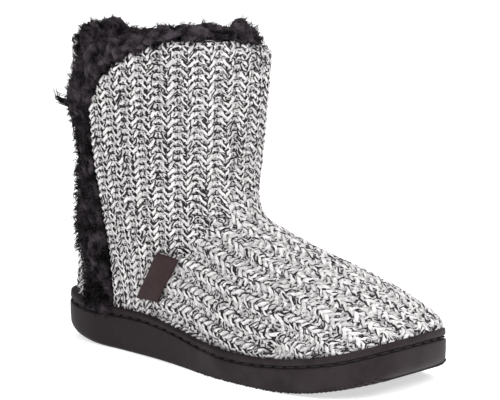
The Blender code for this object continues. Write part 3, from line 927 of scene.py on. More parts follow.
@dataclass(frozen=True)
class Last:
    """The boot's form: the sole's outline and side, the foot, the leg and the ankle's fillet."""

    sole_length: float = 264.0
    heel_lift: float = 7.0
    heel_flat_from: float = 47.0
    arch_from: float = 57.0
    arch_to: float = 130.0
    arch_lift: float = 0.4
    toe_flat_to: float = 193.0
    toe_spring: float = 12.4
    toe_spring_power: float = 1.8
    cup_depth: float = 9.0
    fold_height: float = 95.0
    foot_power: float = 2.3
    foot_crown_power: float = 2.0
    foot_inset: float = 2.6
    foot_widest_above_lip: float = 9.0
    toe_widest_above_lip: float = 1.0
    foot_lower_half: float = 26.0
    foot_tuck: float = 12.0
    foot_tuck_from: float = 96.0
    foot_tuck_to: float = 52.0
    toe_round_from: float = 222.0
    toe_closing: float = 0.9
    foot_depth: float = 40.0
    leg_depth: float = 48.0
    ankle_fillet: float = 16.0
    leg_axis: float = 72.0
    collar_height: float = 188.0
    collar_tilt: float = 8.0
    collar_rise: float = 4.5
    collar_rise_at: float = -20.0
    collar_rise_spread: float = 45.0

    # turn, centre, lateral, medial
    sole_rows: tuple = (
        (0.00, 0.0, 0.0, 0.0),
        (0.07, 0.0, 19.6, 18.6),
        (0.14, 0.0, 28.6, 28.2),
        (0.22, 0.0, 33.6, 33.6),
        (0.32, 0.0, 34.5, 34.0),
        (0.44, 0.0, 40.5, 33.0),
        (0.56, 0.6, 50.8, 39.5),
        (0.68, 1.2, 52.4, 46.0),
        (0.78, 2.4, 47.6, 43.8),
        (0.87, 4.5, 36.0, 35.0),
        (0.94, 5.8, 20.4, 19.8),
        (1.00, 6.2, 0.0, 0.0),
    )
    # along, lip
    lip_rows: tuple = (
        (0.0, 30.3),
        (25.0, 27.2),
        (54.0, 26.3),
        (80.0, 25.7),
        (96.0, 24.2),
        (118.0, 21.4),
        (140.0, 18.8),
        (165.0, 17.7),
        (190.0, 18.8),
        (215.0, 21.8),
        (240.0, 27.4),
        (264.0, 35.2),
    )
    # height, back, front, half width, power
    leg_rows: tuple = (
        (15.0, 8.0, 102.0, 28.5, 3.0),
        (32.0, 5.0, 110.0, 31.0, 3.0),
        (50.0, 4.5, 118.0, 34.5, 2.8),
        (72.0, 5.5, 125.0, 38.5, 2.5),
        (95.0, 6.5, 129.0, 42.5, 2.3),
        (125.0, 6.5, 132.5, 46.0, 2.25),
        (155.0, 5.5, 135.2, 48.5, 2.25),
        (185.0, 4.5, 137.4, 50.5, 2.25),
        (220.0, 4.0, 139.0, 52.0, 2.25),
    )
    # along, ridge
    ridge_rows: tuple = (
        (0.0, 50.0),
        (50.0, 76.0),
        (95.0, 93.0),
        (120.0, 94.0),
        (140.0, 90.0),
        (160.0, 82.8),
        (180.0, 75.6),
        (200.0, 69.5),
        (220.0, 62.0),
        (240.0, 55.0),
        (264.0, 46.0),
    )
    # height, arc of the strip's middle from the back, half width
    strip_rows: tuple = (
        (10.0, 50.5, 12.6),
        (30.0, 50.8, 12.8),
        (60.0, 52.7, 13.0),
        (85.0, 51.2, 12.6),
        (115.0, 49.0, 12.5),
        (150.0, 49.0, 12.5),
        (220.0, 49.0, 12.5),
    )

    def world(self, points: Grid) -> Grid:
        """Points of the last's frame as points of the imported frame, in metres.

        Args:
            points: points in millimetres.

        Returns:
            The points in metres.
        """
        low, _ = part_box("outsole")
        outer = self.sole_outline(0.0, 36)[:, 1].min()
        return (points - np.array([0.0, outer, 0.0])) * MM + np.array([low.x, low.y, 0.0])

    def lip(self, along: Grid) -> Grid:
        """The height of the sole's lip."""
        return column(self.lip_rows, 1, along)

    def ridge(self, along: Grid) -> Grid:
        """The height of the foot's ridge."""
        return column(self.ridge_rows, 1, along)

    def underside(self, along: Grid) -> Grid:
        """The height of the tread.

        Args:
            along: lengths from the heel.

        Returns:
            The heights.
        """
        heel = self.heel_lift * ramp(along, self.heel_flat_from, 0.0) ** 2
        arch = self.arch_lift * np.sin(np.pi * ramp(along, self.arch_from, self.arch_to)) ** 2
        toe = self.toe_spring * ramp(along, self.toe_flat_to, self.sole_length) ** self.toe_spring_power
        return heel + arch + toe

    def sole_outline(self, inset: float, per_side: int) -> Grid:
        """A closed ring in plan: the outer side from heel to toe, then the inner side back.

        Args:
            inset: how far it lies inside the sole's edge.
            per_side: how many stretches each side has.

        Returns:
            Its points, x and y.
        """
        turn = np.linspace(0.0, 1.0, per_side + 1)
        along = self.sole_length / 2 * (1 - np.cos(np.pi * turn))
        centre = column(self.sole_rows, 1, turn)
        lateral = centre - column(self.sole_rows, 2, turn)
        medial = centre + column(self.sole_rows, 3, turn)
        ring = np.concatenate([np.stack([along, lateral], -1), np.stack([along, medial], -1)[-2:0:-1]])
        tangent = np.roll(ring, -1, axis=0) - np.roll(ring, 1, axis=0)
        return ring + inset * unit(np.stack([-tangent[:, 1], tangent[:, 0]], -1))


class Form:
    """How deep a point lies in the boot's form, and rays that find its surface."""

    def __init__(self, last: Last) -> None:
        """Reads the last's outline once.

        Args:
            last: the boot's sizes.
        """
        self.last = last
        ring = last.sole_outline(last.foot_inset, 200)
        self.foot_lateral = ring[:201]
        self.foot_medial = np.concatenate([ring[:1], ring[:199:-1]])
        self.toe_end = ring[:, 0].max()

    def middle(self, x: Grid) -> Grid:
        """The foot's middle line in plan."""
        lateral = np.interp(x, self.foot_lateral[:, 0], self.foot_lateral[:, 1])
        medial = np.interp(x, self.foot_medial[:, 0], self.foot_medial[:, 1])
        return (lateral + medial) / 2

    def foot(self, x: Grid, y: Grid, z: Grid) -> Grid:
        """How deep a point lies in the foot, about in millimetres.

        Args:
            x, y, z: the points.

        Returns:
            The depths, negative outside.
        """
        last = self.last
        lateral = np.interp(x, self.foot_lateral[:, 0], self.foot_lateral[:, 1])
        medial = np.interp(x, self.foot_medial[:, 0], self.foot_medial[:, 1])
        centre = (lateral + medial) / 2
        half = np.maximum((medial - lateral) / 2, 0.01)
        towards_toe = ramp(x, last.toe_round_from, self.toe_end)
        above = last.foot_widest_above_lip
        above = above + (last.toe_widest_above_lip - above) * towards_toe
        widest = last.lip(x) + above
        closing = np.sqrt(1 - last.toe_closing * towards_toe**2)
        crown = (last.ridge(x) - widest) * closing
        up = np.where(z > widest, (z - widest) / crown, (widest - z) / last.foot_lower_half)
        beyond = np.maximum(np.maximum(self.foot_lateral[0, 0] - x, x - self.toe_end), 0.0)
        sideways = (np.abs(y - centre) + beyond) / half
        reach = sideways**last.foot_power + np.abs(up) ** last.foot_crown_power
        tuck = last.foot_tuck * ramp(x, last.foot_tuck_from, last.foot_tuck_to)
        return last.foot_depth * (1 - np.sqrt(reach)) - tuck

    def leg(self, x: Grid, y: Grid, z: Grid) -> Grid:
        """How deep a point lies in the leg, about in millimetres.

        Args:
            x, y, z: the points.

        Returns:
            The depths, negative outside.
        """
        back, front, half, power = (column(self.last.leg_rows, place, z) for place in (1, 2, 3, 4))
        length = (front - back) / 2
        reach = np.abs((x - back - length) / length) ** power + np.abs(y / half) ** power
        return self.last.leg_depth * (1 - reach ** (1 / power))

    def depth(self, x: Grid, y: Grid, z: Grid) -> Grid:
        """How deep a point lies in the boot's form, about in millimetres.

        Args:
            x, y, z: the points.

        Returns:
            The depths, negative outside.
        """
        foot, leg = self.foot(x, y, z), self.leg(x, y, z)
        fillet = self.last.ankle_fillet
        blend = np.maximum(fillet - np.abs(foot - leg), 0.0) / fillet
        return np.maximum(foot, leg) + blend**2 * fillet / 4

    def reach(self, start: Grid, aim: Grid, far: float, depth: Callable | None = None) -> Grid:
        """How far rays go before they leave the form.

        Args:
            start: where they start.
            aim: their directions.
            far: a distance that is outside.
            depth: the form, or None for the whole boot.

        Returns:
            The distances.
        """
        depth = depth or self.depth

        def inside(distance: Grid) -> Grid:
            """Whether the rays are still inside at a distance."""
            spot = start + distance[..., None] * aim
            return depth(spot[..., 0], spot[..., 1], spot[..., 2]) > 0

        shape = np.broadcast(start[..., 0], aim[..., 0]).shape
        return bisect(inside, np.zeros(shape), np.full(shape, far))


class Patch:
    """A stretch of surface on a regular grid of two lengths, read with its normals."""

    def __init__(self, points: Grid, u_from: float, u_step: float, v_from: float, v_step: float) -> None:
        """Keeps the grid and works out its normals.

        Args:
            points: the surface, v by u by coordinate.
            u_from: u of the first column.
            u_step: u from one column to the next.
            v_from: v of the first row.
            v_step: v from one row to the next.
        """
        self.points = points
        self.start = (v_from, u_from)
        self.step = (v_step, u_step)
        across = np.gradient(points, axis=1)
        up = np.gradient(points, axis=0)
        self.normals = unit(np.cross(across, up))

    def read(self, values: Grid, u: Grid, v: Grid) -> Grid:
        """Reads a grid of values between its points.

        Args:
            values: one value or vector for each point.
            u: the length across.
            v: the length up.

        Returns:
            The values.
        """
        rows, columns = self.points.shape[:2]
        i = np.clip((v - self.start[0]) / self.step[0], 0.0, rows - 1.001)
        j = np.clip((u - self.start[1]) / self.step[1], 0.0, columns - 1.001)
        a, b = i.astype(int), j.astype(int)
        s, t = (i - a)[..., None], (j - b)[..., None]
        low = values[a, b] * (1 - t) + values[a, b + 1] * t
        high = values[a + 1, b] * (1 - t) + values[a + 1, b + 1] * t
        return low * (1 - s) + high * s

    def at(self, u: Grid, v: Grid) -> tuple[Grid, Grid]:
        """The surface and its unit normals.

        Args:
            u: the length across.
            v: the length up.

        Returns:
            Points and normals.
        """
        u, v = np.broadcast_arrays(np.asarray(u, float), np.asarray(v, float))
        return self.read(self.points, u, v), unit(self.read(self.normals, u, v))


class Leg:
    """The leg's surface by arc and height. The arc is 0 at the strip's front edge and runs by the shin."""

    RING_AT = 150.0
    LOWEST = 12.0
    RISE = 2.0
    DIRECTIONS = 720
    SPAN_ROWS = 108
    ARC_STEP = 1.5
    OVERLAP = 60.0
    AIM = (62.0, 48.0)

    def __init__(self, form: Form) -> None:
        """Samples the leg.

        Args:
            form: the boot's form.
        """
        last = form.last
        self.last = last
        turn = np.linspace(0.0, math.tau, self.DIRECTIONS + 1)
        level = np.zeros_like(turn)
        aim = unit(np.stack([-self.AIM[0] * np.cos(turn), -self.AIM[1] * np.sin(turn), level], -1))
        heights = self.LOWEST + self.RISE * np.arange(self.SPAN_ROWS)
        axis = np.full(heights.shape, last.leg_axis)
        start = np.stack([axis, np.zeros_like(axis), heights], -1)[:, None, :]
        far = form.reach(start, aim[None], 240.0)
        rings = start + far[..., None] * aim
        lengths = np.linalg.norm(np.diff(rings, axis=1), axis=2)
        arcs = np.concatenate([np.zeros((len(heights), 1)), np.cumsum(lengths, axis=1)], axis=1)
        reference = int(round((self.RING_AT - self.LOWEST) / self.RISE))
        self.total = arcs[reference, -1]
        edge = self.strip_edges(self.RING_AT)
        self.strip_width = edge[1] - edge[0]
        wanted = np.arange(-self.OVERLAP, self.total + self.OVERLAP, self.ARC_STEP)
        turns = np.interp(np.mod(wanted + edge[1], self.total), arcs[reference], turn)
        points = np.empty((len(heights), len(wanted), 3))
        self.edge_arcs = np.empty((len(heights), 2))
        for i in range(len(heights)):
            for k in range(3):
                points[i, :, k] = np.interp(turns, turn, rings[i, :, k])
            low, high = self.strip_edges(heights[i])
            back = np.interp([low, high], arcs[i], turn)
            self.edge_arcs[i] = np.interp(back, turn, arcs[reference]) - edge[1]
        self.heights = heights
        self.patch = Patch(points, -self.OVERLAP, self.ARC_STEP, self.LOWEST, self.RISE)
        self.shin = np.interp(math.pi, turn, arcs[reference]) - edge[1]

    def strip_edges(self, height: float) -> tuple[float, float]:
        """The strip's rear and front edge at a height, as arcs from the back."""
        middle, half = (float(column(self.last.strip_rows, place, height)) for place in (1, 2))
        return middle - half, middle + half

    def from_strip(self, arc: Grid, height: Grid) -> Grid:
        """How far a place is from the strip's nearer edge, along the knit.

        Args:
            arc: its arc.
            height: its height.

        Returns:
            The distance, negative on the strip.
        """
        front = np.interp(height, self.heights, self.edge_arcs[:, 1])
        rear = np.interp(height, self.heights, self.edge_arcs[:, 0]) + self.total
        return np.minimum(arc - front, rear - arc)


@dataclass(frozen=True)
class KnitEdge:
    """The knit's top edge: a tilted line whose two corners round down into the notch."""

    notch_height: float = 138.0
    corner_power: float = 1.85
    front_corner: float = 86.0
    rear_corner: float = 9.0

    def level(self, points: Grid, last: Last) -> Grid:
        """The edge's height before its corners, at points near it.

        Args:
            points: the points.
            last: the boot's sizes.

        Returns:
            The heights.
        """
        angle = np.degrees(np.arctan2(points[..., 1], points[..., 0] - last.leg_axis))
        rise = last.collar_rise * np.exp(-(((angle - last.collar_rise_at) / last.collar_rise_spread) ** 2))
        return last.collar_height - last.collar_tilt * np.sin(np.radians(angle)) + rise

    def height(self, leg: Leg, arc: Grid) -> Grid:
        """The edge's height.

        Args:
            leg: the leg's surface.
            arc: arcs from the strip's front edge.

        Returns:
            The heights; over the strip, the notch's foot.
        """
        arc = np.asarray(arc, float)
        points, _ = leg.patch.at(arc, np.full(arc.shape, leg.last.collar_height))
        height = self.level(points, leg.last)
        knit = leg.total - leg.strip_width
        from_front = np.clip(arc / self.front_corner, 0.0, 1.0)
        from_rear = np.clip((knit - arc) / self.rear_corner, 0.0, 1.0)
        for share in (from_front, from_rear):
            rounding = (1.0 - (1.0 - share) ** self.corner_power) ** (1.0 / self.corner_power)
            height = self.notch_height + (height - self.notch_height) * rounding
        return height


class Vamp:
    """The foot's surface by arc from the ridge and station along it, from ankle to toe."""

    LEAN = math.radians(18.0)
    FAN_FROM = 205.0
    PIVOT = (185.0, -30.0)
    FIRST = 104.0
    THETA = math.radians(118.0)
    RAYS = 241
    STEP = 1.5
    REACH = 108.0
    ABOVE_LIP = 5.0

    def __init__(self, form: Form) -> None:
        """Samples the vamp.

        Args:
            form: the boot's form.
        """
        last = form.last
        self.last = last
        straight = np.arange(self.FIRST, self.FAN_FROM, 1.0)
        tops = [np.array([x, float(last.ridge(x))]) for x in straight]
        aims = [np.array([math.sin(self.LEAN), math.cos(self.LEAN)])] * len(tops)
        pivot = np.array(self.PIVOT)
        first = math.atan2(*(tops[-1] - pivot)[::-1])
        tip = np.array([form.toe_end, float(last.lip(form.toe_end)) - 3.5])
        lowest = math.atan2(*(tip - pivot)[::-1])
        for angle in np.linspace(first, lowest, 60)[1:]:
            aim = np.array([math.cos(angle), math.sin(angle)])
            start = pivot + aim * 45.0
            spot = np.array([start[0], 0.0, start[1]])
            spot[1] = form.middle(spot[0])
            way = np.array([aim[0], 0.0, aim[1]])
            far = float(form.reach(spot[None], way[None], 120.0, form.foot)[0])
            tops.append(start + aim * far)
            aims.append(aim)
        tops, aims = np.array(tops), np.array(aims)
        run = np.concatenate([[0.0], np.cumsum(np.linalg.norm(np.diff(tops, axis=0), axis=1))])
        self.length = run[-1]
        stations = np.arange(0.0, self.length, self.STEP)
        theta = np.linspace(-self.THETA, self.THETA, self.RAYS)
        wanted = np.arange(-self.REACH, self.REACH + self.STEP / 2, self.STEP)
        points = np.empty((len(stations), len(wanted), 3))
        self.span = np.empty((len(stations), 2))
        for i, station in enumerate(stations):
            top = np.array([np.interp(station, run, tops[:, k]) for k in (0, 1)])
            aim = unit(np.array([np.interp(station, run, aims[:, k]) for k in (0, 1)]))
            drop = top[1] - float(last.lip(top[0])) - self.ABOVE_LIP
            for _ in range(6):
                origin = top - aim * drop / aim[1]
                drop = top[1] - float(last.lip(origin[0])) - self.ABOVE_LIP
            drop = max(drop, 2.0)
            origin = top - aim * drop / aim[1]
            start = np.array([origin[0], float(form.middle(origin[0])), origin[1]])
            rays = np.stack([np.cos(theta) * aim[0], np.sin(theta), np.cos(theta) * aim[1]], -1)
            flat = form.reach(start[None], rays, 200.0, form.foot)
            full = form.reach(start[None], rays, 200.0)
            ring = start + flat[:, None] * rays
            arc = np.concatenate([[0.0], np.cumsum(np.linalg.norm(np.diff(ring, axis=0), axis=1))])
            arc -= np.interp(0.0, theta, arc)
            at = np.interp(wanted, arc, theta)
            real = start + full[:, None] * rays
            for k in range(3):
                points[i, :, k] = np.interp(at, theta, real[:, k])
            self.span[i] = arc[0], arc[-1]
        self.stations = stations
        self.patch = Patch(points, -self.REACH, self.STEP, 0.0, self.STEP)
        self.patch.normals = -self.patch.normals

    def on_surface(self, arc: Grid, station: Grid) -> Grid:
        """How far inside the sampled stretch a place lies.

        Args:
            arc: its arc from the ridge.
            station: its station.

        Returns:
            The distance to the nearer end.
        """
        low = np.interp(station, self.stations, self.span[:, 0])
        high = np.interp(station, self.stations, self.span[:, 1])
        return np.minimum(arc - low, high - arc)


@dataclass(frozen=True)
class Seam:
    """The seam between foot and leg, the same on both sides, as heights against lengths in side view."""

    # along, height
    rows: tuple = (
        (60.0, 8.0),
        (86.0, 29.0),
        (98.0, 49.0),
        (109.0, 66.0),
        (125.0, 83.0),
        (136.0, 91.5),
        (143.0, 97.0),
        (150.0, 100.0),
        (175.0, 106.0),
    )

    def side(self, points: Grid) -> Grid:
        """How far points lie on the leg's side of the seam, in side view.

        Args:
            points: points of the surface.

        Returns:
            Distances, negative on the foot's side.
        """
        along, height = np.array(self.rows).T
        x, z = points[..., 0], points[..., 2]
        distance = np.full(x.shape, 1e9)
        for k in range(len(along) - 1):
            start = np.array([along[k], height[k]])
            way = np.array([along[k + 1], height[k + 1]]) - start
            share = np.clip(((x - start[0]) * way[0] + (z - start[1]) * way[1]) / (way @ way), 0.0, 1.0)
            gap = np.hypot(x - start[0] - share * way[0], z - start[1] - share * way[1])
            distance = np.minimum(distance, gap)
        above = z > np.interp(x, along, height)
        return np.where(above, distance, -distance)


# The knit


@dataclass(frozen=True)
class RibStitch:
    """One knit and one purl wale of rib, as a yarn path."""

    pair_width: float = 12.4
    row_height: float = 4.1
    yarn_width: float = 2.75
    yarn_thickness: float = 2.4
    outermost: float = 0.8
    knit_share: float = 0.6
    leg_reach: float = 0.36
    purl_reach: float = 0.24
    loop_height: float = 0.92
    purl_height: float = 0.64
    depth: float = 1.4
    purl_depth: float = 0.6
    column_relief: float = 0.8
    tuck: float = 0.45
    points_per_pair: int = 22
    wobble: float = 0.18
    knit_girth: float = 1.1
    purl_girth: float = 1.0
    # How much of the painted light purl wales keep; below 1 they are drawn darker, as painted shade.
    purl_painted_light: float = 0.35
    slub: float = 0.12
    # How strongly the painted shadow line under each strand shows.
    shadow_lines: float = 1.1

    @property
    def lift(self) -> float:
        """Where the yarn's mean path lies, so that its outermost side stands just over the surface."""
        return self.outermost - self.yarn_thickness / 2 - self.depth - self.column_relief

    def path(self, phase: Grid) -> tuple[Grid, Grid, Grid, Grid, Grid]:
        """The yarn's path, one row high.

        Args:
            phase: how many pairs of wales the yarn has crossed.

        Returns:
            Its place across in pairs, its height in rows, its depth in millimetres, 1 where it lies over the
            other rows' yarn and 0 where it lies behind, and its girth.
        """
        pair = np.floor(phase)
        t = (phase - pair) * 4 * np.pi
        knit = t < 2 * np.pi
        local = np.where(knit, t, t - 2 * np.pi)
        width = np.where(knit, self.knit_share, 1.0 - self.knit_share)
        start = np.where(knit, 0.0, self.knit_share)
        lean = np.where(knit, self.leg_reach, self.purl_reach)
        across = pair + start + width * (local / (2 * np.pi) + lean * np.sin(2 * local))
        wave = np.sin(t / 2)
        share = 0.5 + 0.5 * wave
        tall = self.purl_height + (self.loop_height - self.purl_height) * share
        up = -tall * np.cos(local)
        swing = self.purl_depth + (self.depth - self.purl_depth) * share
        nod = np.cos(2 * (local + self.tuck * np.sin(local)))
        depth = self.column_relief * wave - (0.1 + 0.9 * wave) * swing * nod
        side = np.sign(wave) * np.sqrt(np.abs(wave))
        front = 0.5 - 0.5 * side * nod
        girth = 1.0 + front * np.where(knit, (self.knit_girth - 1.0) * wave, (1.0 - self.purl_girth) * wave)
        # Purl wales get a lower value here, so the material draws them darker, painted shade; their shape
        # does not change.
        front = front * np.where(knit, 1.0, 1.0 + (1.0 - self.purl_painted_light) * wave)
        return across, up, depth, front, girth


class Knit:
    """A panel of rib knit on a patch, cut to shape where its edges say."""

    LIP_BULGE = 2.0
    BULGE_UP_TO = 11.0
    # The direction away from the light: the painted shadow line runs along the side of each strand that faces
    # it.
    SHADOW_DIRECTION = unit(np.array([-0.22, -0.19, -0.95]))
    SWAY = (1.4, 1.6, 1.5)
    EDGE = -1.0
    LEAST_POINTS = 5
    RUN_SHIFT = 1.7

    def __init__(self, patch: Patch, last: Last, stitch: RibStitch, seed: int) -> None:
        """Keeps what the panel is made of.

        Args:
            patch: the surface.
            last: the boot's sizes.
            stitch: the stitch.
            seed: picks the knit's unevenness.
        """
        self.patch = patch
        self.last = last
        self.stitch = stitch
        self.dice = np.random.default_rng(seed)

    def row(
        self, level: float, height: float, first: float, pairs: int, width: float, margin: Callable
    ) -> list:
        """The yarn paths of one row.

        Args:
            level: the row's place on the patch's v.
            height: the distance to the next row.
            first: u of the first wale.
            pairs: how many pairs of wales the row has.
            width: the width of a pair.
            margin: how far points are inside the panel's edge and how deep they sink there, by u, v, point.

        Returns:
            A list of paths, each with its points, facings, run, how proud it stands, its lee side and girth.
        """
        stitch = self.stitch
        count = pairs * stitch.points_per_pair + 1
        phase = np.linspace(0.0, pairs, count)
        across, up, depth, front, girth = stitch.path(phase)
        knots = np.arange(2 * pairs + 2)
        wobble = self.dice.uniform(-1.0, 1.0, (3, len(knots))) * stitch.wobble
        slub = 1.0 + self.dice.uniform(-1.0, 1.0, 3 * pairs + 2) * stitch.slub
        girth = girth * np.interp(phase * 3, np.arange(3 * pairs + 2), slub)
        loops = phase * 2
        aside, raised, out = (np.interp(loops, knots, row) * size for row, size in zip(wobble, self.SWAY))
        u = first + across * width + aside
        v = level + up * height + raised
        surface, normals = self.patch.at(u, v)
        inside, sink = margin(u, v, surface)
        above_lip = surface[:, 2] - self.last.lip(surface[:, 0])
        bulge = self.LIP_BULGE * (1.0 - ease(above_lip, 0.0, self.BULGE_UP_TO))
        lift = stitch.lift + depth + out - sink + bulge
        points = surface + lift[:, None] * normals
        # The material draws yarn darker where this is low: painted shade on yarn that lies behind and on yarn
        # that sinks at hems and seams.
        proud = front * (1.0 - np.clip(sink / 3.0, 0.0, 0.7))
        # Which side of the strand faces away from the light; the material paints a shadow line along it.
        lee = stitch.shadow_lines * np.cross(normals, unit(np.gradient(points, axis=0))) @ self.SHADOW_DIRECTION
        keep = inside > self.EDGE
        paths = []
        edges = np.flatnonzero(np.diff(np.concatenate([[False], keep, [False]]).astype(int)))
        for start, end in zip(edges[::2], edges[1::2]):
            if end - start >= self.LEAST_POINTS:
                cut = slice(start, end)
                steps = np.linalg.norm(np.diff(points[cut], axis=0), axis=1)
                run = np.concatenate([[0.0], np.cumsum(steps)]) + start * self.RUN_SHIFT
                paths.append((points[cut], normals[cut], run, proud[cut], lee[cut], girth[cut]))
        return paths

    def yarn(self, name: str, rows: list, grow: Growth, material: bpy.types.Material) -> bpy.types.Mesh:
        """Sweeps the yarn along its paths.

        Args:
            name: the mesh's name.
            rows: lists of paths, one for each row.
            grow: the tree that sweeps.
            material: the yarn's material.

        Returns:
            The mesh.
        """
        paths, tones, edges = [], [], []
        total = 0
        for row in rows:
            tone = self.dice.uniform()
            for path in row:
                count = len(path[0])
                paths.append(path)
                tones.append(np.full(count, tone))
                edges.append(np.stack([np.arange(count - 1), np.arange(1, count)], -1) + total)
                total += count
        points, facing, run, proud, lee, girth = (np.concatenate(values) for values in zip(*paths))
        mesh = new_mesh(name, self.last.world(points), [], np.concatenate(edges).tolist())
        put_attribute(mesh, "facing", "FLOAT_VECTOR", facing)
        for label, values in (("run", run), ("proud", proud), ("lee", lee), ("girth", girth)):
            put_attribute(mesh, label, "FLOAT", values)
        put_attribute(mesh, "tone", "FLOAT", np.concatenate(tones))
        width, thickness = self.stitch.yarn_width * MM, self.stitch.yarn_thickness * MM
        return grow.grow(name, mesh, Width=width, Thickness=thickness, Sides=6, Material=material)


@dataclass
class KnittedUpper:
    """The two panels of rib."""

    row_height_high: float = 4.75
    taller_over: tuple[float, float] = (110.0, 190.0)
    first_row: float = 18.0
    last_row: float = 202.0
    seam_below: float = 112.0
    strip_gap: float = 0.3
    below_lip: float = 3.3
    seam_lap: float = 1.6
    seam_sink: float = 0.9
    hem_sink: float = 2.4
    leg_stitch: RibStitch = RibStitch()
    vamp_stitch: RibStitch = RibStitch(
        pair_width=14.0,
        row_height=5.15,
        yarn_width=3.15,
        yarn_thickness=2.7,
        depth=1.6,
        purl_depth=0.7,
        wobble=0.22,
        shadow_lines=0.46,
    )
    edge: KnitEdge = field(default_factory=KnitEdge)
    seam: Seam = field(default_factory=Seam)

    def leg_panel(self, leg: Leg, grow: Growth, material: bpy.types.Material) -> None:
        """Knits the leg, in four pieces.

        Args:
            leg: the leg's surface.
            grow: the tree that sweeps the yarn.
            material: the yarn's material.
        """
        last = leg.last
        stitch = self.leg_stitch
        knit = Knit(leg.patch, last, stitch, 3)
        length = leg.total - leg.strip_width
        pairs = int(round(length / stitch.pair_width))
        width = length / pairs

        def margin(u: Grid, v: Grid, points: Grid) -> tuple[Grid, Grid]:
            """How far points lie inside the panel, and how deep they sink there."""
            top = self.edge.height(leg, u) - v
            foot = v - last.lip(points[..., 0]) + self.below_lip
            seam = np.where(v < self.seam_below, self.seam.side(points) + self.seam_lap, 1e9)
            strip = leg.from_strip(u, v) - self.strip_gap
            hem = np.minimum(top, strip)
            sink = self.hem_sink * (1.0 - ease(hem, -0.4, 3.2))
            sink = sink + self.seam_sink * (1.0 - ease(seam, 0.0, 3.0))
            return np.minimum.reduce([top, foot, seam, strip]), sink

        levels, level = [], self.first_row
        while level < self.last_row:
            levels.append(level)
            taller = (self.row_height_high - stitch.row_height) * ramp(level, *self.taller_over)
            level += stitch.row_height + taller
        rows = []
        for k, level in enumerate(levels):
            height = levels[k + 1] - level if k + 1 < len(levels) else self.row_height_high
            rows.append(knit.row(level, height, -2 * width, pairs + 4, width, margin))
        self.show_parts("knit_leg", knit, rows, 4, grow, material)

    def vamp_panel(self, vamp: Vamp, grow: Growth, material: bpy.types.Material) -> None:
        """Knits the vamp, in two pieces.

        Args:
            vamp: the foot's surface.
            grow: the tree that sweeps the yarn.
            material: the yarn's material.
        """
        last = vamp.last
        stitch = self.vamp_stitch
        knit = Knit(vamp.patch, last, stitch, 5)
        pairs = 2 * int(vamp.REACH // stitch.pair_width)

        def margin(u: Grid, v: Grid, points: Grid) -> tuple[Grid, Grid]:
            """How far points lie inside the panel, and how deep they sink there."""
            foot = points[..., 2] - last.lip(points[..., 0]) + self.below_lip
            seam = self.seam_lap - self.seam.side(points)
            sink = self.seam_sink * (1.0 - ease(seam, 0.0, 3.0))
            return np.minimum.reduce([foot, seam, vamp.on_surface(u, v), vamp.length - v]), sink

        levels = np.arange(2.0, vamp.length, stitch.row_height)
        first = -pairs / 2 * stitch.pair_width
        size = (stitch.row_height, first, pairs, stitch.pair_width)
        rows = [row for row in (knit.row(level, *size, margin) for level in levels) if row]
        self.show_parts("knit_vamp", knit, rows, 2, grow, material)

    @staticmethod
    def show_parts(
        name: str, knit: Knit, rows: list, parts: int, grow: Growth, material: bpy.types.Material
    ) -> None:
        """Sweeps and shows a panel in pieces, from the lowest rows up.

        Args:
            name: the pieces' name, before their number.
            knit: the panel.
            rows: its rows of yarn paths.
            parts: how many pieces it gets.
            grow: the tree that sweeps the yarn.
            material: the yarn's material.
        """
        for part in range(parts):
            chosen = rows[part * len(rows) // parts:(part + 1) * len(rows) // parts]
            mesh = knit.yarn(f"{name}_{part + 1}", [row for row in chosen if row], grow, material)
            show(f"{name}_{part + 1}", mesh, ("upper",))


# The other pieces


class Hull:
    """The whole boot's form as rings from the sole's lip to the collar, for linings and labels."""

    FOOT_ROWS = 24
    LEG_ROWS = 34
    AROUND = 220

    def __init__(self, form: Form, top: float) -> None:
        """Samples the form.

        Args:
            form: the boot's form.
            top: the height of the last ring.
        """
        last = form.last
        outline = last.sole_outline(last.foot_inset, 200)
        angle = np.arctan2(outline[:, 1], outline[:, 0] - last.leg_axis)
        order = np.argsort(angle)
        share = np.linspace(0.0, 1.0, self.AROUND, endpoint=False)
        wanted = np.interp(share, [0.0, 1.0], [-math.pi, math.pi])
        along = np.interp(wanted, angle[order], outline[order, 0], period=math.tau)
        aim = np.stack([np.cos(wanted), np.sin(wanted), np.zeros_like(wanted)], -1)
        base = last.lip(along) + 1.0
        shares = np.linspace(0.0, 1.0, self.FOOT_ROWS)
        foot = base + shares[:, None] * (last.fold_height - base)
        leg = np.linspace(last.fold_height, top, self.LEG_ROWS)[1:, None] * np.ones(self.AROUND)
        heights = np.concatenate([foot, leg])
        start = np.stack([np.full(heights.shape, last.leg_axis), np.zeros(heights.shape), heights], -1)
        far = form.reach(start, np.broadcast_to(aim, start.shape), 240.0)
        self.points = start + far[..., None] * aim
        wrapped = np.concatenate([self.points[:, -1:], self.points, self.points[:, :1]], axis=1)
        across = np.gradient(wrapped, axis=1)[:, 1:-1]
        up = np.gradient(self.points, axis=0)
        self.normals = unit(np.cross(across, up))

    def offset(self, distance: float) -> Grid:
        """The rings moved outwards."""
        return self.points + distance * self.normals


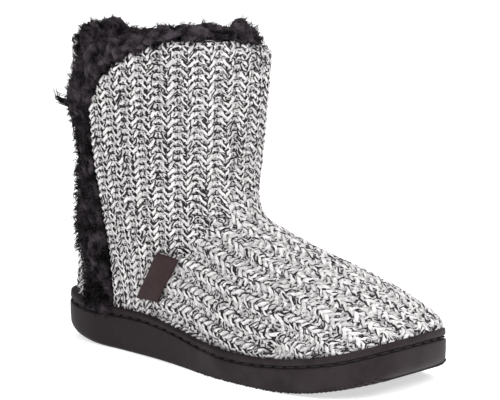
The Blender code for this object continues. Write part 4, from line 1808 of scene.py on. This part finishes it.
class Fleece:
    """A lock of teddy fleece, and the tree that plants it."""

    SWIRL = 0.5

    def __init__(self, material: bpy.types.Material, seed: int = 8) -> None:
        """Keeps the fleece's material and its tree.

        Args:
            material: the fleece.
            seed: picks the lock's curls.
        """
        self.material = material
        self.tree = lock_tree()
        self.seed = seed

    def lock(
        self, spikes: int = 8, length: float = 3.9, spread: float = 1.3, girth: float = 0.26
    ) -> bpy.types.Mesh:
        """One lock: a tuft of fibres that curl over together.

        Args:
            spikes: how many there are.
            length: their length.
            spread: how far their roots are apart.
            girth: how thick they are.

        Returns:
            The mesh, in metres, along +z.
        """
        dice = np.random.default_rng(self.seed)
        points, faces = [], []
        for _ in range(spikes):
            root = dice.normal(size=2) * spread
            bend = np.array([0.8, 0.0]) + dice.normal(size=2) * 0.2
            tall = length * dice.uniform(0.55, 1.1)
            first = len(points)
            for share, thick in ((-0.3, girth), (0.5, girth * 0.75)):
                spot = root * (1.0 - 0.6 * max(share, 0.0)) + tall * bend * share**2
                for k in range(3):
                    angle = math.tau * k / 3 + share * 2.0
                    aside = thick * np.array([math.cos(angle), math.sin(angle)])
                    points.append((*(spot + aside), tall * share))
            tip = root * 0.4 + tall * bend
            points.append((tip[0], tip[1], tall * 0.8))
            faces += grid_faces(2, 3, closed=True, first=first)
            faces += [(first + 3 + k, first + 3 + (k + 1) % 3, first + 6) for k in range(3)]
            faces.append((first + 2, first + 1, first))
        return new_mesh("fleece_lock", np.array(points) * MM, faces)

    def plant(
        self, name: str, ground: bpy.types.Mesh, per_cm2: float, lean: float, sizes: tuple, seed: int
    ) -> bpy.types.Mesh:
        """Plants locks on a piece of fleece.

        Args:
            name: the piece's name.
            ground: the fleece's backing.
            per_cm2: how many locks stand on a square centimetre.
            lean: how far a lock leans at most, in radians.
            sizes: the smallest and largest scale.
            seed: picks their places.

        Returns:
            The fleece.
        """
        return self.tree.grow(
            name,
            ground,
            Density=per_cm2 * CM2_PER_M2,
            Seed=seed,
            Lean=lean,
            Swirl=self.SWIRL,
            Smallest=sizes[0],
            Largest=sizes[1],
            Lock=self.lock(),
            Material=self.material,
        )

    def tuft(self, name: str, root: Grid, aim: Grid, last: Last) -> bpy.types.Mesh:
        """One long tuft that stands out of the fleece.

        Args:
            name: the piece's name.
            root: where it grows.
            aim: where it points.
            last: the boot's sizes.

        Returns:
            The tuft.
        """
        lock = self.lock(spikes=40, length=14.0, spread=1.5, girth=0.3)
        spots = np.array([point.co for point in lock.vertices]) / MM
        faces = [tuple(face.vertices) for face in lock.polygons]
        bpy.data.meshes.remove(lock)
        along = unit(np.cross(np.array([0.0, 0.0, 1.0]), aim))
        frame = np.stack([np.cross(aim, along), along, aim])
        mesh = new_mesh(name, last.world(root + spots @ frame), faces)
        put_attribute(mesh, "nub", "FLOAT", np.full(len(spots), 0.5))
        mesh.materials.append(self.material)
        return mesh
# The black fleece behind the knit: one shell, whose back shows between the yarns in the fleece's darkest
# colour, as painted shade.


@dataclass
class FleeceLining:
    """The black fleece behind the knit: one shell, with a dark back that shows between the yarns."""

    back: float = -3.0
    face: float = -5.9
    top: float = 177.0
    skirt: float = 7.0
    nub_mm: float = 7.5
    nub_depth: float = 2.2
    furred_from: float = 118.0
    locks_per_cm2: float = 3.5

    def build(self, form: Form, fleece: Fleece) -> None:
        """Makes the lining, from the sole's cup up behind the collar.

        Args:
            form: the boot's form.
            fleece: the fleece's material and locks.
        """
        last = form.last
        hull = Hull(form, self.top)
        outer, inner = hull.offset(self.back), hull.offset(self.face)
        nub = nubs(inner, self.nub_mm, 4)
        pile = self.nub_depth * nub * ease(inner[..., 2], 60.0, 100.0)
        inner = inner - pile[..., None] * hull.normals
        drop = np.array([0.0, 0.0, self.skirt])
        rings = np.concatenate([(inner[:1] - drop), inner, outer[::-1], (outer[:1] - drop)])
        count = rings.shape[1]
        faces = grid_faces(len(rings), count, closed=True, turned=True)
        last_row = (len(rings) - 1) * count
        faces += [(last_row + j, last_row + (j + 1) % count, (j + 1) % count, j)[::-1] for j in range(count)]
        mesh = new_mesh("fleece_lining", last.world(rings.reshape(-1, 3)), faces)
        # The back gets nub 0: the black lining drawn in the fleece's darkest colour, painted shade, in the
        # gaps between the yarns.
        put_attribute(mesh, "nub", "FLOAT", np.concatenate([nub[:1], nub, nub * 0.0, nub[:1] * 0.0]))
        mesh.materials.append(fleece.material)
        show("fleece_lining", mesh, ("upper",))
        first = int(np.argmax(inner[:, 0, 2] > self.furred_from))
        mouth = inner[first:] - 0.3 * hull.normals[first:]
        faces = grid_faces(len(mouth), count, closed=True, turned=True)
        mesh = new_mesh("fleece_mouth", last.world(mouth.reshape(-1, 3)), faces)
        put_attribute(mesh, "nub", "FLOAT", nub[first:])
        pile = fleece.plant("fleece_mouth_pile", mesh, self.locks_per_cm2, 0.6, (0.6, 1.0), 23)
        show("fleece_mouth_pile", pile, ("upper",))


@dataclass
class FleeceCollar:
    """The rolled fleece on the knit's edge, hanging inside it and filling the notch."""

    around: int = 360
    least_crest: float = 1.0
    pile: float = 2.2
    nub_mm: float = 7.5
    nub_depth: float = 4.8
    curl_mm: float = 3.6
    curl_depth: float = 2.2
    wave_mm: float = 17.0
    wave_depth: float = 0.9
    locks_per_cm2: float = 6.4

    # bearing, crest height, lean, set, belly
    crest_rows: tuple = (
        (-180.0, 197.5, -1.0, 0.0, 0.0),
        (-172.0, 195.0, -3.0, -1.0, 0.0),
        (-166.0, 189.0, -4.0, -4.0, 0.0),
        (-159.0, 183.0, -3.0, -8.0, 0.0),
        (-152.0, 182.0, -2.0, -8.0, 0.0),
        (-145.0, 181.0, -2.0, -3.0, 3.0),
        (-138.0, 184.0, -2.0, 0.0, 5.0),
        (-130.0, 189.5, -1.0, 0.0, 3.5),
        (-122.0, 192.5, -0.5, 0.0, 1.5),
        (-110.0, 195.0, 0.0, 0.0, 0.0),
        (-90.0, 197.0, 0.0, 0.0, 0.0),
        (-72.0, 199.5, 0.0, 0.0, 0.0),
        (-52.0, 209.0, -1.0, 0.0, 0.0),
        (-36.0, 206.5, -3.5, -1.0, 0.0),
        (-25.0, 208.5, -4.5, -1.5, 0.0),
        (-12.0, 204.5, -6.0, -2.5, 0.0),
        (5.0, 207.0, -6.5, -4.5, 0.0),
        (22.0, 207.0, -7.0, -7.0, 0.0),
        (40.0, 200.0, -6.5, -8.5, 0.0),
        (65.0, 194.0, -6.0, -5.0, 0.0),
        (90.0, 188.5, -2.0, -3.5, 0.0),
        (128.0, 183.5, 0.5, -1.0, 0.0),
        (149.0, 186.5, 1.0, 0.0, 0.0),
        (157.0, 192.5, 0.5, 0.0, 0.0),
        (164.0, 199.5, 0.0, 0.0, 0.0),
        (171.0, 200.5, 0.0, 0.0, 0.0),
        (180.0, 197.5, -1.0, 0.0, 0.0),
    )
    # share of the way from the edge to the crest, rise, out
    section_rows: tuple = (
        (0.0, -1.0, -2.5),
        (0.0, 0.0, 0.6),
        (0.14, 0.0, 2.2),
        (0.42, 0.0, 2.8),
        (0.76, 0.0, 0.4),
        (1.0, -1.8, -3.2),
        (1.0, -0.4, -6.6),
        (0.82, 0.0, -10.0),
        (0.45, 0.0, -12.0),
        (0.0, -4.0, -12.5),
        (0.0, -14.0, -11.5),
        (0.0, -21.0, -7.5),
        (0.0, -12.0, -4.6),
    )

    def build(self, leg: Leg, edge: KnitEdge, fleece: Fleece) -> None:
        """Makes the collar.

        Args:
            leg: the leg's surface.
            edge: the knit's top edge.
            fleece: the fleece's locks.
        """
        last = leg.last
        knit = leg.total - leg.strip_width
        arc = np.linspace(0.0, leg.total, self.around, endpoint=False)
        base = np.where(arc <= knit, edge.height(leg, arc), edge.notch_height)
        rim, _ = leg.patch.at(arc, np.full(arc.shape, last.collar_height))
        angle = np.degrees(np.arctan2(rim[:, 1], rim[:, 0] - last.leg_axis))
        crest, lean, aside, belly = (column(self.crest_rows, place, angle) for place in (1, 2, 3, 4))
        crest = np.maximum(crest, base + self.least_crest)
        rows = np.array(self.section_rows)
        keys = np.arange(len(rows) + 1)
        closed = np.concatenate([rows, rows[:1]])
        steps = np.linspace(0, len(rows), 4 * len(rows), endpoint=False)
        share, rise, out = (np.interp(steps, keys, closed[:, k]) for k in range(3))
        for values in (share, rise, out):
            for _ in range(2):
                values[:] = (np.roll(values, 1) + 2 * values + np.roll(values, -1)) / 4
        heights = base + share[:, None] * (crest - base) + rise[:, None]
        on, normals = leg.patch.at(np.broadcast_to(arc, heights.shape), heights)
        swell = np.where(out > -1.0, np.sin(np.pi * share), 0.0)
        away = out[:, None] + aside + lean * share[:, None] + belly * swell[:, None]
        points = on + away[..., None] * normals
        tall = np.roll(points, -1, axis=0) - np.roll(points, 1, axis=0)
        long = np.roll(points, -1, axis=1) - np.roll(points, 1, axis=1)
        facing = unit(np.cross(long, tall))
        nub, curl = nubs(points, self.nub_mm, 3), nubs(points, self.curl_mm, 12)
        lumps = self.nub_depth * (nub - NUB_MIDDLE) + self.curl_depth * (curl - NUB_MIDDLE)
        lumps = lumps + self.wave_depth * waves(points, self.wave_mm, 6)
        points = points + (lumps - self.pile)[..., None] * facing
        # This mixes the fleece's painted highlight on the lumps and painted shade between them.
        nub = 0.6 * nub + 0.4 * curl
        rings = np.concatenate([points, points[:1]])
        count = self.around
        faces = (np.array(grid_faces(len(rings), count, closed=True)) % (len(points) * count)).tolist()
        mesh = new_mesh("fleece_collar", last.world(points.reshape(-1, 3)), faces)
        put_attribute(mesh, "nub", "FLOAT", nub)
        show(
            "fleece_collar_pile",
            fleece.plant("fleece_collar_pile", mesh, self.locks_per_cm2, 0.9, (0.7, 1.2), 21),
            ("fleece_collar",),
        )


@dataclass
class FleeceStrip:
    """The fleece strip down the outer side, from the notch to the sole's lip."""

    across: int = 26
    up: int = 110
    lowest_above_lip: float = -4.2
    over_lip: float = 4.6
    locks_per_cm2: float = 10.0
    # Below 1 the strip is drawn darker than the collar, painted shade.
    darker: float = 0.82
    nub_mm: float = 6.5
    nub_depth: float = 3.0
    lowest: float = 20.0
    above_notch: float = 14.0
    set_in: float = 1.4
    backing: float = 3.2
    backing_over_lip: float = 5.4
    tuft_height: float = 147.0
    tuft_out: float = 4.5
    tuft_aim: tuple[float, float, float] = (-0.73, -0.63, 0.20)

    # height, proud, how far it spreads over the rear knit
    proud_rows: tuple = (
        (10.0, 0.6, 0.0),
        (30.0, 0.8, 0.0),
        (45.0, 1.1, 0.0),
        (62.0, 1.4, 2.5),
        (85.0, 1.4, 2.5),
        (100.0, 1.0, 1.2),
        (125.0, 0.8, 0.0),
        (140.0, 1.4, 0.5),
        (155.0, 3.0, 1.0),
    )
    over_knit: float = 3.2

    def build(self, leg: Leg, edge: KnitEdge, fleece: Fleece) -> None:
        """Makes the strip.

        Args:
            leg: the leg's surface.
            edge: the knit's top edge.
            fleece: the fleece's locks.
        """
        last = leg.last
        heights = np.linspace(self.lowest, edge.notch_height + self.above_notch, self.up)
        share = np.linspace(0.0, 1.0, self.across)
        spread = column(self.proud_rows, 2, heights)
        start = np.interp(heights, leg.heights, leg.edge_arcs[:, 0]) + leg.total - spread
        end = np.interp(heights, leg.heights, leg.edge_arcs[:, 1]) + leg.total
        arcs = start[:, None] + share * (end - start)[:, None]
        tall = np.broadcast_to(heights[:, None], arcs.shape)
        surface, normals = leg.patch.at(arcs - leg.total, tall)
        low = last.lip(surface[..., 0]) + self.lowest_above_lip
        tall = low[0] + (tall - tall[0]) * (heights[-1] - low[0]) / (heights[-1] - heights[0])
        surface, normals = leg.patch.at(arcs - leg.total, tall)
        crown = np.sqrt(np.clip(1.0 - np.abs(2 * share - 1) ** 2.4, 0.0, 1.0))
        proud = column(self.proud_rows, 1, tall) * crown - self.set_in
        above_lip = tall - last.lip(surface[..., 0])
        over = 1.0 - ease(above_lip, -1.0, 4.0)
        below = 1.0 - ease(above_lip, -0.5, 0.7)
        proud = proud + over * (self.over_lip * crown**0.5 + 1.0)
        proud = proud + self.over_knit * (spread / spread.max())[:, None] * (1.0 - share) ** 2
        nub = nubs(surface, self.nub_mm, 9)
        lumps = self.nub_depth * (nub - NUB_MIDDLE) * crown
        outer = surface + (proud + lumps)[..., None] * normals
        inner = surface + (self.backing_over_lip * below - self.backing)[..., None] * normals
        closed = np.concatenate([outer, inner[:, ::-1]], axis=1)
        count = closed.shape[1]
        faces = grid_faces(len(closed), count, closed=True)
        faces.append(tuple(range(count))[::-1])
        faces.append(tuple(range((len(closed) - 1) * count, len(closed) * count)))
        mesh = new_mesh("fleece_strip", last.world(closed.reshape(-1, 3)), faces)
        # The strip's nubs are scaled down, painted shade, and its hidden backing gets nub 0, the fleece's
        # darkest colour.
        put_attribute(mesh, "nub", "FLOAT", self.darker * np.concatenate([nub, nub * 0.0], axis=1))
        spot, _ = leg.patch.at(np.array([1.0 - leg.strip_width]), np.array([self.tuft_height]))
        aim = unit(np.array(self.tuft_aim))
        tuft = fleece.tuft("fleece_tuft", spot[0] + self.tuft_out * aim, aim, last)
        show("fleece_tuft", tuft, ("fleece_gusset",))
        show(
            "fleece_strip_pile",
            fleece.plant("fleece_strip_pile", mesh, self.locks_per_cm2, 0.8, (0.9, 1.5), 22),
            ("fleece_gusset",),
        )


@dataclass
class CupSole:
    """The rubber cup sole with its stitched groove and ribbed tread."""

    per_side: int = 200
    stitch_pitch: float = 8.3
    stitch_length: float = 6.4
    stitch_girth: float = 1.3
    groove_rise: float = -5.5
    groove_inset: float = 1.35
    rib_pitch: float = 2.6
    rib_depth: float = 1.8
    rib_width: float = 1.8
    rib_proud: float = 0.9

    # share of the way up to the lip, rise, inset
    side_rows: tuple = (
        (0.4, 0.0, 0.05),
        (1.0, -8.6, 0.0),
        (1.0, -7.4, 0.05),
        (1.0, -6.8, 0.25),
        (1.0, -6.5, 0.7),
        (1.0, -6.3, 1.5),
        (1.0, -6.0, 2.0),
        (1.0, -5.0, 2.0),
        (1.0, -4.75, 1.5),
        (1.0, -4.55, 0.75),
        (1.0, -4.25, 0.4),
        (1.0, -3.6, 0.3),
        (1.0, -1.8, 0.4),
        (1.0, -0.6, 0.55),
        (1.0, -0.25, 0.7),
        (1.0, -0.05, 1.0),
        (1.0, 0.0, 1.6),
        (1.0, 0.0, 3.4),
        (1.0, -0.1, 4.2),
        (1.0, -0.8, 4.9),
        (1.0, -3.0, 5.1),
        (1.0, -9.0, 5.1),
        (1.0, -9.0, 8.0),
    )
    # along, the lower edge's rounding, the lip band's height as a share
    edge_rows: tuple = (
        (0.0, 6.0, 1.0),
        (25.0, 4.5, 0.98),
        (60.0, 2.2, 0.8),
        (95.0, 1.3, 0.64),
        (130.0, 1.2, 0.66),
        (165.0, 1.2, 0.76),
        (205.0, 1.1, 0.8),
        (225.0, 1.1, 0.86),
        (243.0, 1.7, 0.98),
        (256.0, 4.0, 1.0),
        (264.0, 8.5, 1.0),
    )

    def foot_rings(self, last: Last) -> list[Grid]:
        """The rounded lower edge, from the tread outwards and up.

        Args:
            last: the boot's sizes.

        Returns:
            Closed rings.
        """
        rings = []
        for turn in np.radians([0.0, 0.0, 15.0, 30.0, 45.0, 60.0, 75.0, 90.0]):
            inner = last.sole_outline(8.0 if not rings else 2.0, self.per_side)
            outer = last.sole_outline(0.3, self.per_side)
            size = column(self.edge_rows, 1, outer[:, 0])
            inset = size * (1.0 - np.sin(turn))
            away = unit(inner - outer)
            ring = outer + away * np.minimum(inset + (4.0 if not rings else 0.0), 9.0)[:, None]
            low = last.underside(ring[:, 0])
            rise = size * (1.0 - np.cos(turn))
            tread = self.tread(ring[:, 0]) * np.cos(turn)
            rings.append(np.column_stack([ring, low + rise + tread]))
        return rings

    def tread(self, along: Grid) -> Grid:
        """How far the shell's bottom stands above the ribs' tread: little at the heel."""
        return 0.1 + self.rib_proud * ease(along, 116.0, 136.0)

    def build(
        self, last: Last, rubber: bpy.types.Material, thread: bpy.types.Material, sweep: Growth
    ) -> None:
        """Makes the sole's shell, its ribs and its stitches.

        Args:
            last: the boot's sizes.
            rubber: the sole's material.
            thread: the stitches' material.
            sweep: the tree that sweeps the ribs.
        """
        rings = self.foot_rings(last)
        for share, rise, inset in self.side_rows:
            ring = last.sole_outline(inset, self.per_side)
            low, high = last.underside(ring[:, 0]), last.lip(ring[:, 0])
            band = 1.0 if inset > 3.0 else column(self.edge_rows, 2, ring[:, 0])
            rings.append(np.column_stack([ring, low + share * (high - low) + rise * band]))
        faces = grid_faces(len(rings), 2 * self.per_side, closed=True) + end_faces(len(rings), self.per_side)
        points = last.world(np.concatenate(rings))
        mesh = new_mesh("sole_shell", points, faces)
        mesh.materials.append(rubber)
        show("sole_shell", mesh, ("outsole",))
        self.ribs(last, rubber, sweep)
        self.stitches(last, thread)

    def ribs(self, last: Last, rubber: bpy.types.Material, sweep: Growth) -> None:
        """Lays the tread's ribs across the sole, up round its lower edge.

        Args:
            last: the boot's sizes.
            rubber: the sole's material.
            sweep: the tree that sweeps them.
        """
        ring = last.sole_outline(0.2, self.per_side)
        half = self.per_side
        lateral, medial = ring[:half + 1], np.concatenate([ring[:1], ring[:half - 1:-1]])
        along = np.arange(6.0, last.sole_length - 6.0, self.rib_pitch)
        share = (1.0 - np.cos(np.linspace(0.0, np.pi, 15))) / 2
        points, edges = [], []
        for x in along:
            low = np.interp(x, lateral[:, 0], lateral[:, 1])
            high = np.interp(x, medial[:, 0], medial[:, 1])
            size = float(column(self.edge_rows, 1, x))
            inside = size * (0.1 + 0.75 * ramp(x, 140.0, 120.0))
            y = low + inside + share * (high - low - 2 * inside)
            away = np.hypot(ring[:, 0] - x, ring[:, 1] - y[:, None]).min(axis=1)
            rise = size * (1.0 - np.sqrt(1.0 - np.clip(1.0 - away / size, 0.0, 1.0) ** 2))
            z = float(last.underside(x)) + self.rib_depth / 2 + rise
            first = len(points)
            points += [(x, *value) for value in zip(y, z)]
            edges += [(first + k, first + k + 1) for k in range(len(share) - 1)]
        mesh = new_mesh("tread_ribs", last.world(np.array(points)), [], edges)
        put_attribute(mesh, "facing", "FLOAT_VECTOR", np.tile((0.0, 0.0, 1.0), (len(points), 1)))
        put_attribute(mesh, "girth", "FLOAT", np.ones(len(points)))
        width, depth = self.rib_width * MM, self.rib_depth * MM
        grown = sweep.grow("tread_ribs", mesh, Width=width, Thickness=depth, Sides=8, Material=rubber)
        show("tread_ribs", grown, ("outsole",))

    def stitches(self, last: Last, thread: bpy.types.Material) -> None:
        """Lays the stitches in the groove.

        Args:
            last: the boot's sizes.
            thread: the stitches' material.
        """
        ring = last.sole_outline(self.groove_inset, self.per_side)
        rise = self.groove_rise * column(self.edge_rows, 2, ring[:, 0])
        path = np.column_stack([ring, last.lip(ring[:, 0]) + rise])
        count = len(path)
        mesh = new_mesh("groove_stitches", last.world(path), [], [(k, (k + 1) % count) for k in range(count)])
        rows, sides = 7, 6
        places = np.linspace(-1.0, 1.0, rows)
        points = []
        for place in places:
            girth = self.stitch_girth / 2 * math.sqrt(max(1.0 - abs(place) ** 3.0, 0.03))
            for k in range(sides):
                turn = math.tau * k / sides
                side = (girth * math.cos(turn), girth * math.sin(turn))
                points.append((place * self.stitch_length / 2, *side))
        faces = grid_faces(rows, sides, closed=True)
        faces += [tuple(range(sides))[::-1], tuple(range((rows - 1) * sides, rows * sides))]
        stitch = new_mesh("stitch", np.array(points) * MM, faces)
        grown = stitch_tree().grow(
            "groove_stitches", mesh, Pitch=self.stitch_pitch * MM, Stitch=stitch, Material=thread
        )
        show("groove_stitches", grown, ("outsole",))


@dataclass
class Insole:
    """The footbed's soft pad."""

    inset: float = 9.0
    thickness: float = 5.0
    crown: float = 1.2
    lowest: float = 0.5
    per_side: int = 90

    def build(self, last: Last, material: bpy.types.Material) -> None:
        """Makes the pad from its rim to its middle line.

        Args:
            last: the boot's sizes.
            material: the pile.
        """
        rings = []
        rows = ((1.5, 0.0), (0.3, 0.4), (0.0, 1.4), (0.0, 3.4), (0.4, 4.5), (1.4, 5.0), (3.5, 5.25))
        for inset, rise in rows:
            ring = last.sole_outline(self.inset + inset, self.per_side)
            floor = last.lip(ring[:, 0]) - last.cup_depth + self.lowest
            rings.append(np.column_stack([ring, floor + rise * self.thickness / 5.0]))
        middle = rings[-1]
        centre = np.roll(middle[::-1], 1, axis=0)
        for share in (0.3, 0.6, 0.9):
            ring = middle + share / 2 * (centre - middle)
            ring[:, 2] += self.crown * (1.0 - (1.0 - share) ** 2)
            ring[:, 2] += 0.25 * waves(ring, 9.0, 31)
            rings.append(ring)
        faces = grid_faces(len(rings), 2 * self.per_side, closed=True) + end_faces(len(rings), self.per_side)
        mesh = new_mesh("footbed_pad", last.world(np.concatenate(rings)), faces)
        mesh.materials.append(material)
        show("footbed_pad", mesh, ("insole",))


@dataclass
class WovenLabel:
    """The bare woven label, sewn in at the seam and lying back over the heel panel."""

    length: float = 34.0
    width: float = 17.0
    lift: float = 1.5
    thickness: float = 0.9
    columns: int = 22
    rows: int = 34

    # along and height of the corners: top rear, top front, foot rear, foot front
    corners: tuple = ((94.5, 66.5), (111.0, 64.0), (74.5, 35.6), (93.5, 35.6))

    def build(self, form: Form, ribbon: bpy.types.Material) -> None:
        """Makes the label.

        Args:
            form: the boot's form.
            ribbon: its material.
        """
        shares = (np.linspace(0, 1, count) for count in (self.rows, self.columns))
        down, across = np.meshgrid(*shares, indexing="ij")
        top_rear, top_front, foot_rear, foot_front = (np.array(corner) for corner in self.corners)
        top = top_rear + across[..., None] * (top_front - top_rear)
        foot = foot_rear + across[..., None] * (foot_front - foot_rear)
        flat = top + down[..., None] * (foot - top)
        start = np.stack([flat[..., 0], np.zeros(across.shape), flat[..., 1]], -1)
        aim = np.broadcast_to(np.array([0.0, -1.0, 0.0]), start.shape)
        surface = start + form.reach(start, aim, 80.0)[..., None] * aim
        normals = unit(np.cross(np.gradient(surface, axis=0), np.gradient(surface, axis=1)))
        long, wide = down * self.length, across * self.width
        edge = np.minimum.reduce([long, self.length - long, wide, self.width - wide])
        ripple = 0.35 * np.sin(down * 9.0 + across * 2.0) + 0.25 * np.sin(across * 7.0 - down * 4.0)
        lift = self.lift + ripple - 0.7 * (1.0 - ease(edge, 0.0, 1.2)) + 0.5 * ease(across, 0.6, 0.0)
        outer = surface + (lift + self.thickness)[..., None] * normals
        inner = surface + lift[..., None] * normals
        grids = np.concatenate([outer.reshape(-1, 3), inner.reshape(-1, 3)])
        faces = grid_faces(self.rows, self.columns)
        faces += grid_faces(self.rows, self.columns, first=self.rows * self.columns, turned=True)
        rim = list(range(self.columns))
        rim += [i * self.columns + self.columns - 1 for i in range(1, self.rows)]
        rim += [(self.rows - 1) * self.columns + k for k in range(self.columns - 2, -1, -1)]
        rim += [i * self.columns for i in range(self.rows - 2, 0, -1)]
        below = self.rows * self.columns
        for k, point in enumerate(rim):
            after = rim[(k + 1) % len(rim)]
            faces.append((after, point, below + point, below + after))
        mesh = new_mesh("bare_label", form.last.world(grids), faces)
        weave = np.stack([wide, long, np.zeros_like(down)], -1).reshape(-1, 3)
        put_attribute(mesh, "weave", "FLOAT_VECTOR", np.concatenate([weave, weave]))
        mesh.materials.append(ribbon)
        show("bare_label", mesh, ("label_tab",))


# The studio


@dataclass(frozen=True)
class Studio:
    """A white floor, soft light, and the camera at the photograph's angle."""

    azimuth: float = 40.9
    elevation: float = 10.79
    distance_m: float = 1.9
    lens_mm: float = 228.6
    aim: tuple[float, float, float] = (-0.0010, 0.00015, 0.090)
    aside_m: float = 0.03466
    lift_m: float = 0.00765
    centre_px: float = 52.0
    sensor_mm: float = 36.0
    floor_m: float = 6.0
    floor_glow: float = 0.6
    sky: float = 0.34
    white: tuple[float, ...] = (1.0, 1.0, 1.0, 1.0)

    # name, right, up, back, side, watts
    lamp_rows: tuple = (
        ("key_lamp", 1.05, 1.35, 1.4, 1.3, 31.5),
        ("top_lamp", -0.2, 1.7, -0.5, 0.9, 10.0),
        ("fill_lamp", -1.0, 0.95, 1.5, 1.4, 15.0),
    )

    def axes(self) -> tuple[Vector, Vector, Vector]:
        """The camera's right, up and back directions.

        Returns:
            The three directions.
        """
        a, e = math.radians(self.azimuth), math.radians(self.elevation)
        right = Vector((math.cos(a), math.sin(a), 0.0))
        back = Vector((math.sin(a) * math.cos(e), -math.cos(a) * math.cos(e), math.sin(e)))
        return right, back.cross(right), back

    def camera(self) -> None:
        """Places the camera, turned a little so that the one boot is in the middle."""
        right, up, back = self.axes()
        data = bpy.data.cameras.new("camera")
        data.lens = self.lens_mm
        data.sensor_width = self.sensor_mm
        data.clip_start, data.clip_end = 0.05, 50.0
        camera = bpy.data.objects.new("camera", data)
        place = Vector(self.aim) + back * self.distance_m + right * self.aside_m + up * self.lift_m
        turn = Matrix((right, up, back)).transposed()
        pan = Matrix.Rotation(math.atan(self.centre_px / 500.0 * self.sensor_mm / self.lens_mm), 3, "Y")
        camera.matrix_world = Matrix.Translation(place) @ (turn @ pan).to_4x4()
        bpy.context.scene.collection.objects.link(camera)
        bpy.context.scene.camera = camera

    def lamp(self, name: str, place: Vector, size: float, power: float) -> None:
        """Hangs a soft square lamp that points at the boot.

        Args:
            name: its name.
            place: where it hangs.
            size: its side in metres.
            power: its power in watts.
        """
        data = bpy.data.lights.new(name, "AREA")
        data.shape = "SQUARE"
        data.size = size
        data.energy = power
        lamp = bpy.data.objects.new(name, data)
        lamp.location = place
        lamp.rotation_mode = "QUATERNION"
        lamp.rotation_quaternion = (Vector((0.0, 0.0, 0.08)) - place).to_track_quat("-Z", "Y")
        bpy.context.scene.collection.objects.link(lamp)

    def build(self) -> None:
        """Builds floor, light and camera."""
        points = self.floor_m * np.array([(-1, -1, 0), (1, -1, 0), (1, 1, 0), (-1, 1, 0)])
        mesh = new_mesh("studio_floor", points, [(0, 1, 2, 3)])
        pale = PlainStuff("pale_floor", (0.9, 0.9, 0.9), 0.8, 0.0, 0.01).build()
        shader = pale.node_tree.nodes["Principled BSDF"]
        shader.inputs["Emission Color"].default_value = self.white
        shader.inputs["Emission Strength"].default_value = self.floor_glow
        mesh.materials.append(pale)
        floor = bpy.data.objects.new("studio_floor", mesh)
        bpy.context.scene.collection.objects.link(floor)
        right, up, back = self.axes()
        for name, aside, above, nearer, size, power in self.lamp_rows:
            self.lamp(name, right * aside + up * above + back * nearer, size, power)
        world = bpy.data.worlds.new("studio_light")
        world.use_nodes = True
        sky = world.node_tree.nodes["Background"]
        sky.inputs["Color"].default_value = self.white
        sky.inputs["Strength"].default_value = self.sky
        bpy.context.scene.world = world
        bpy.context.scene.view_settings.view_transform = "Standard"
        self.camera()


def main() -> None:
    """Builds the boot's pieces in order, then the studio."""
    logging.basicConfig(level=logging.INFO, format="%(name)s: %(message)s")
    last = Last()
    form = Form(last)
    leg = Leg(form)
    LOG.info("leg %.1f mm round, shin at %.1f", leg.total, leg.shin)
    vamp = Vamp(form)
    LOG.info("vamp %.1f mm long", vamp.length)
    sweep = sweep_tree()
    yarn = MarledYarn().build()
    upper = KnittedUpper()
    upper.leg_panel(leg, sweep, yarn)
    upper.vamp_panel(vamp, sweep, yarn)
    fleece_finish = TeddyFleece().build()
    fleece = Fleece(fleece_finish)
    FleeceLining().build(form, fleece)
    FleeceCollar().build(leg, upper.edge, fleece)
    FleeceStrip().build(leg, upper.edge, fleece)
    thread = PlainStuff("groove_thread", (0.016, 0.014, 0.015), 0.6).build()
    CupSole().build(last, SoleRubber().build(), thread, sweep)
    Insole().build(last, Footbed().build())
    WovenLabel().build(form, WovenRibbon().build())
    Studio().build()


if __name__ == "__main__":
    main()
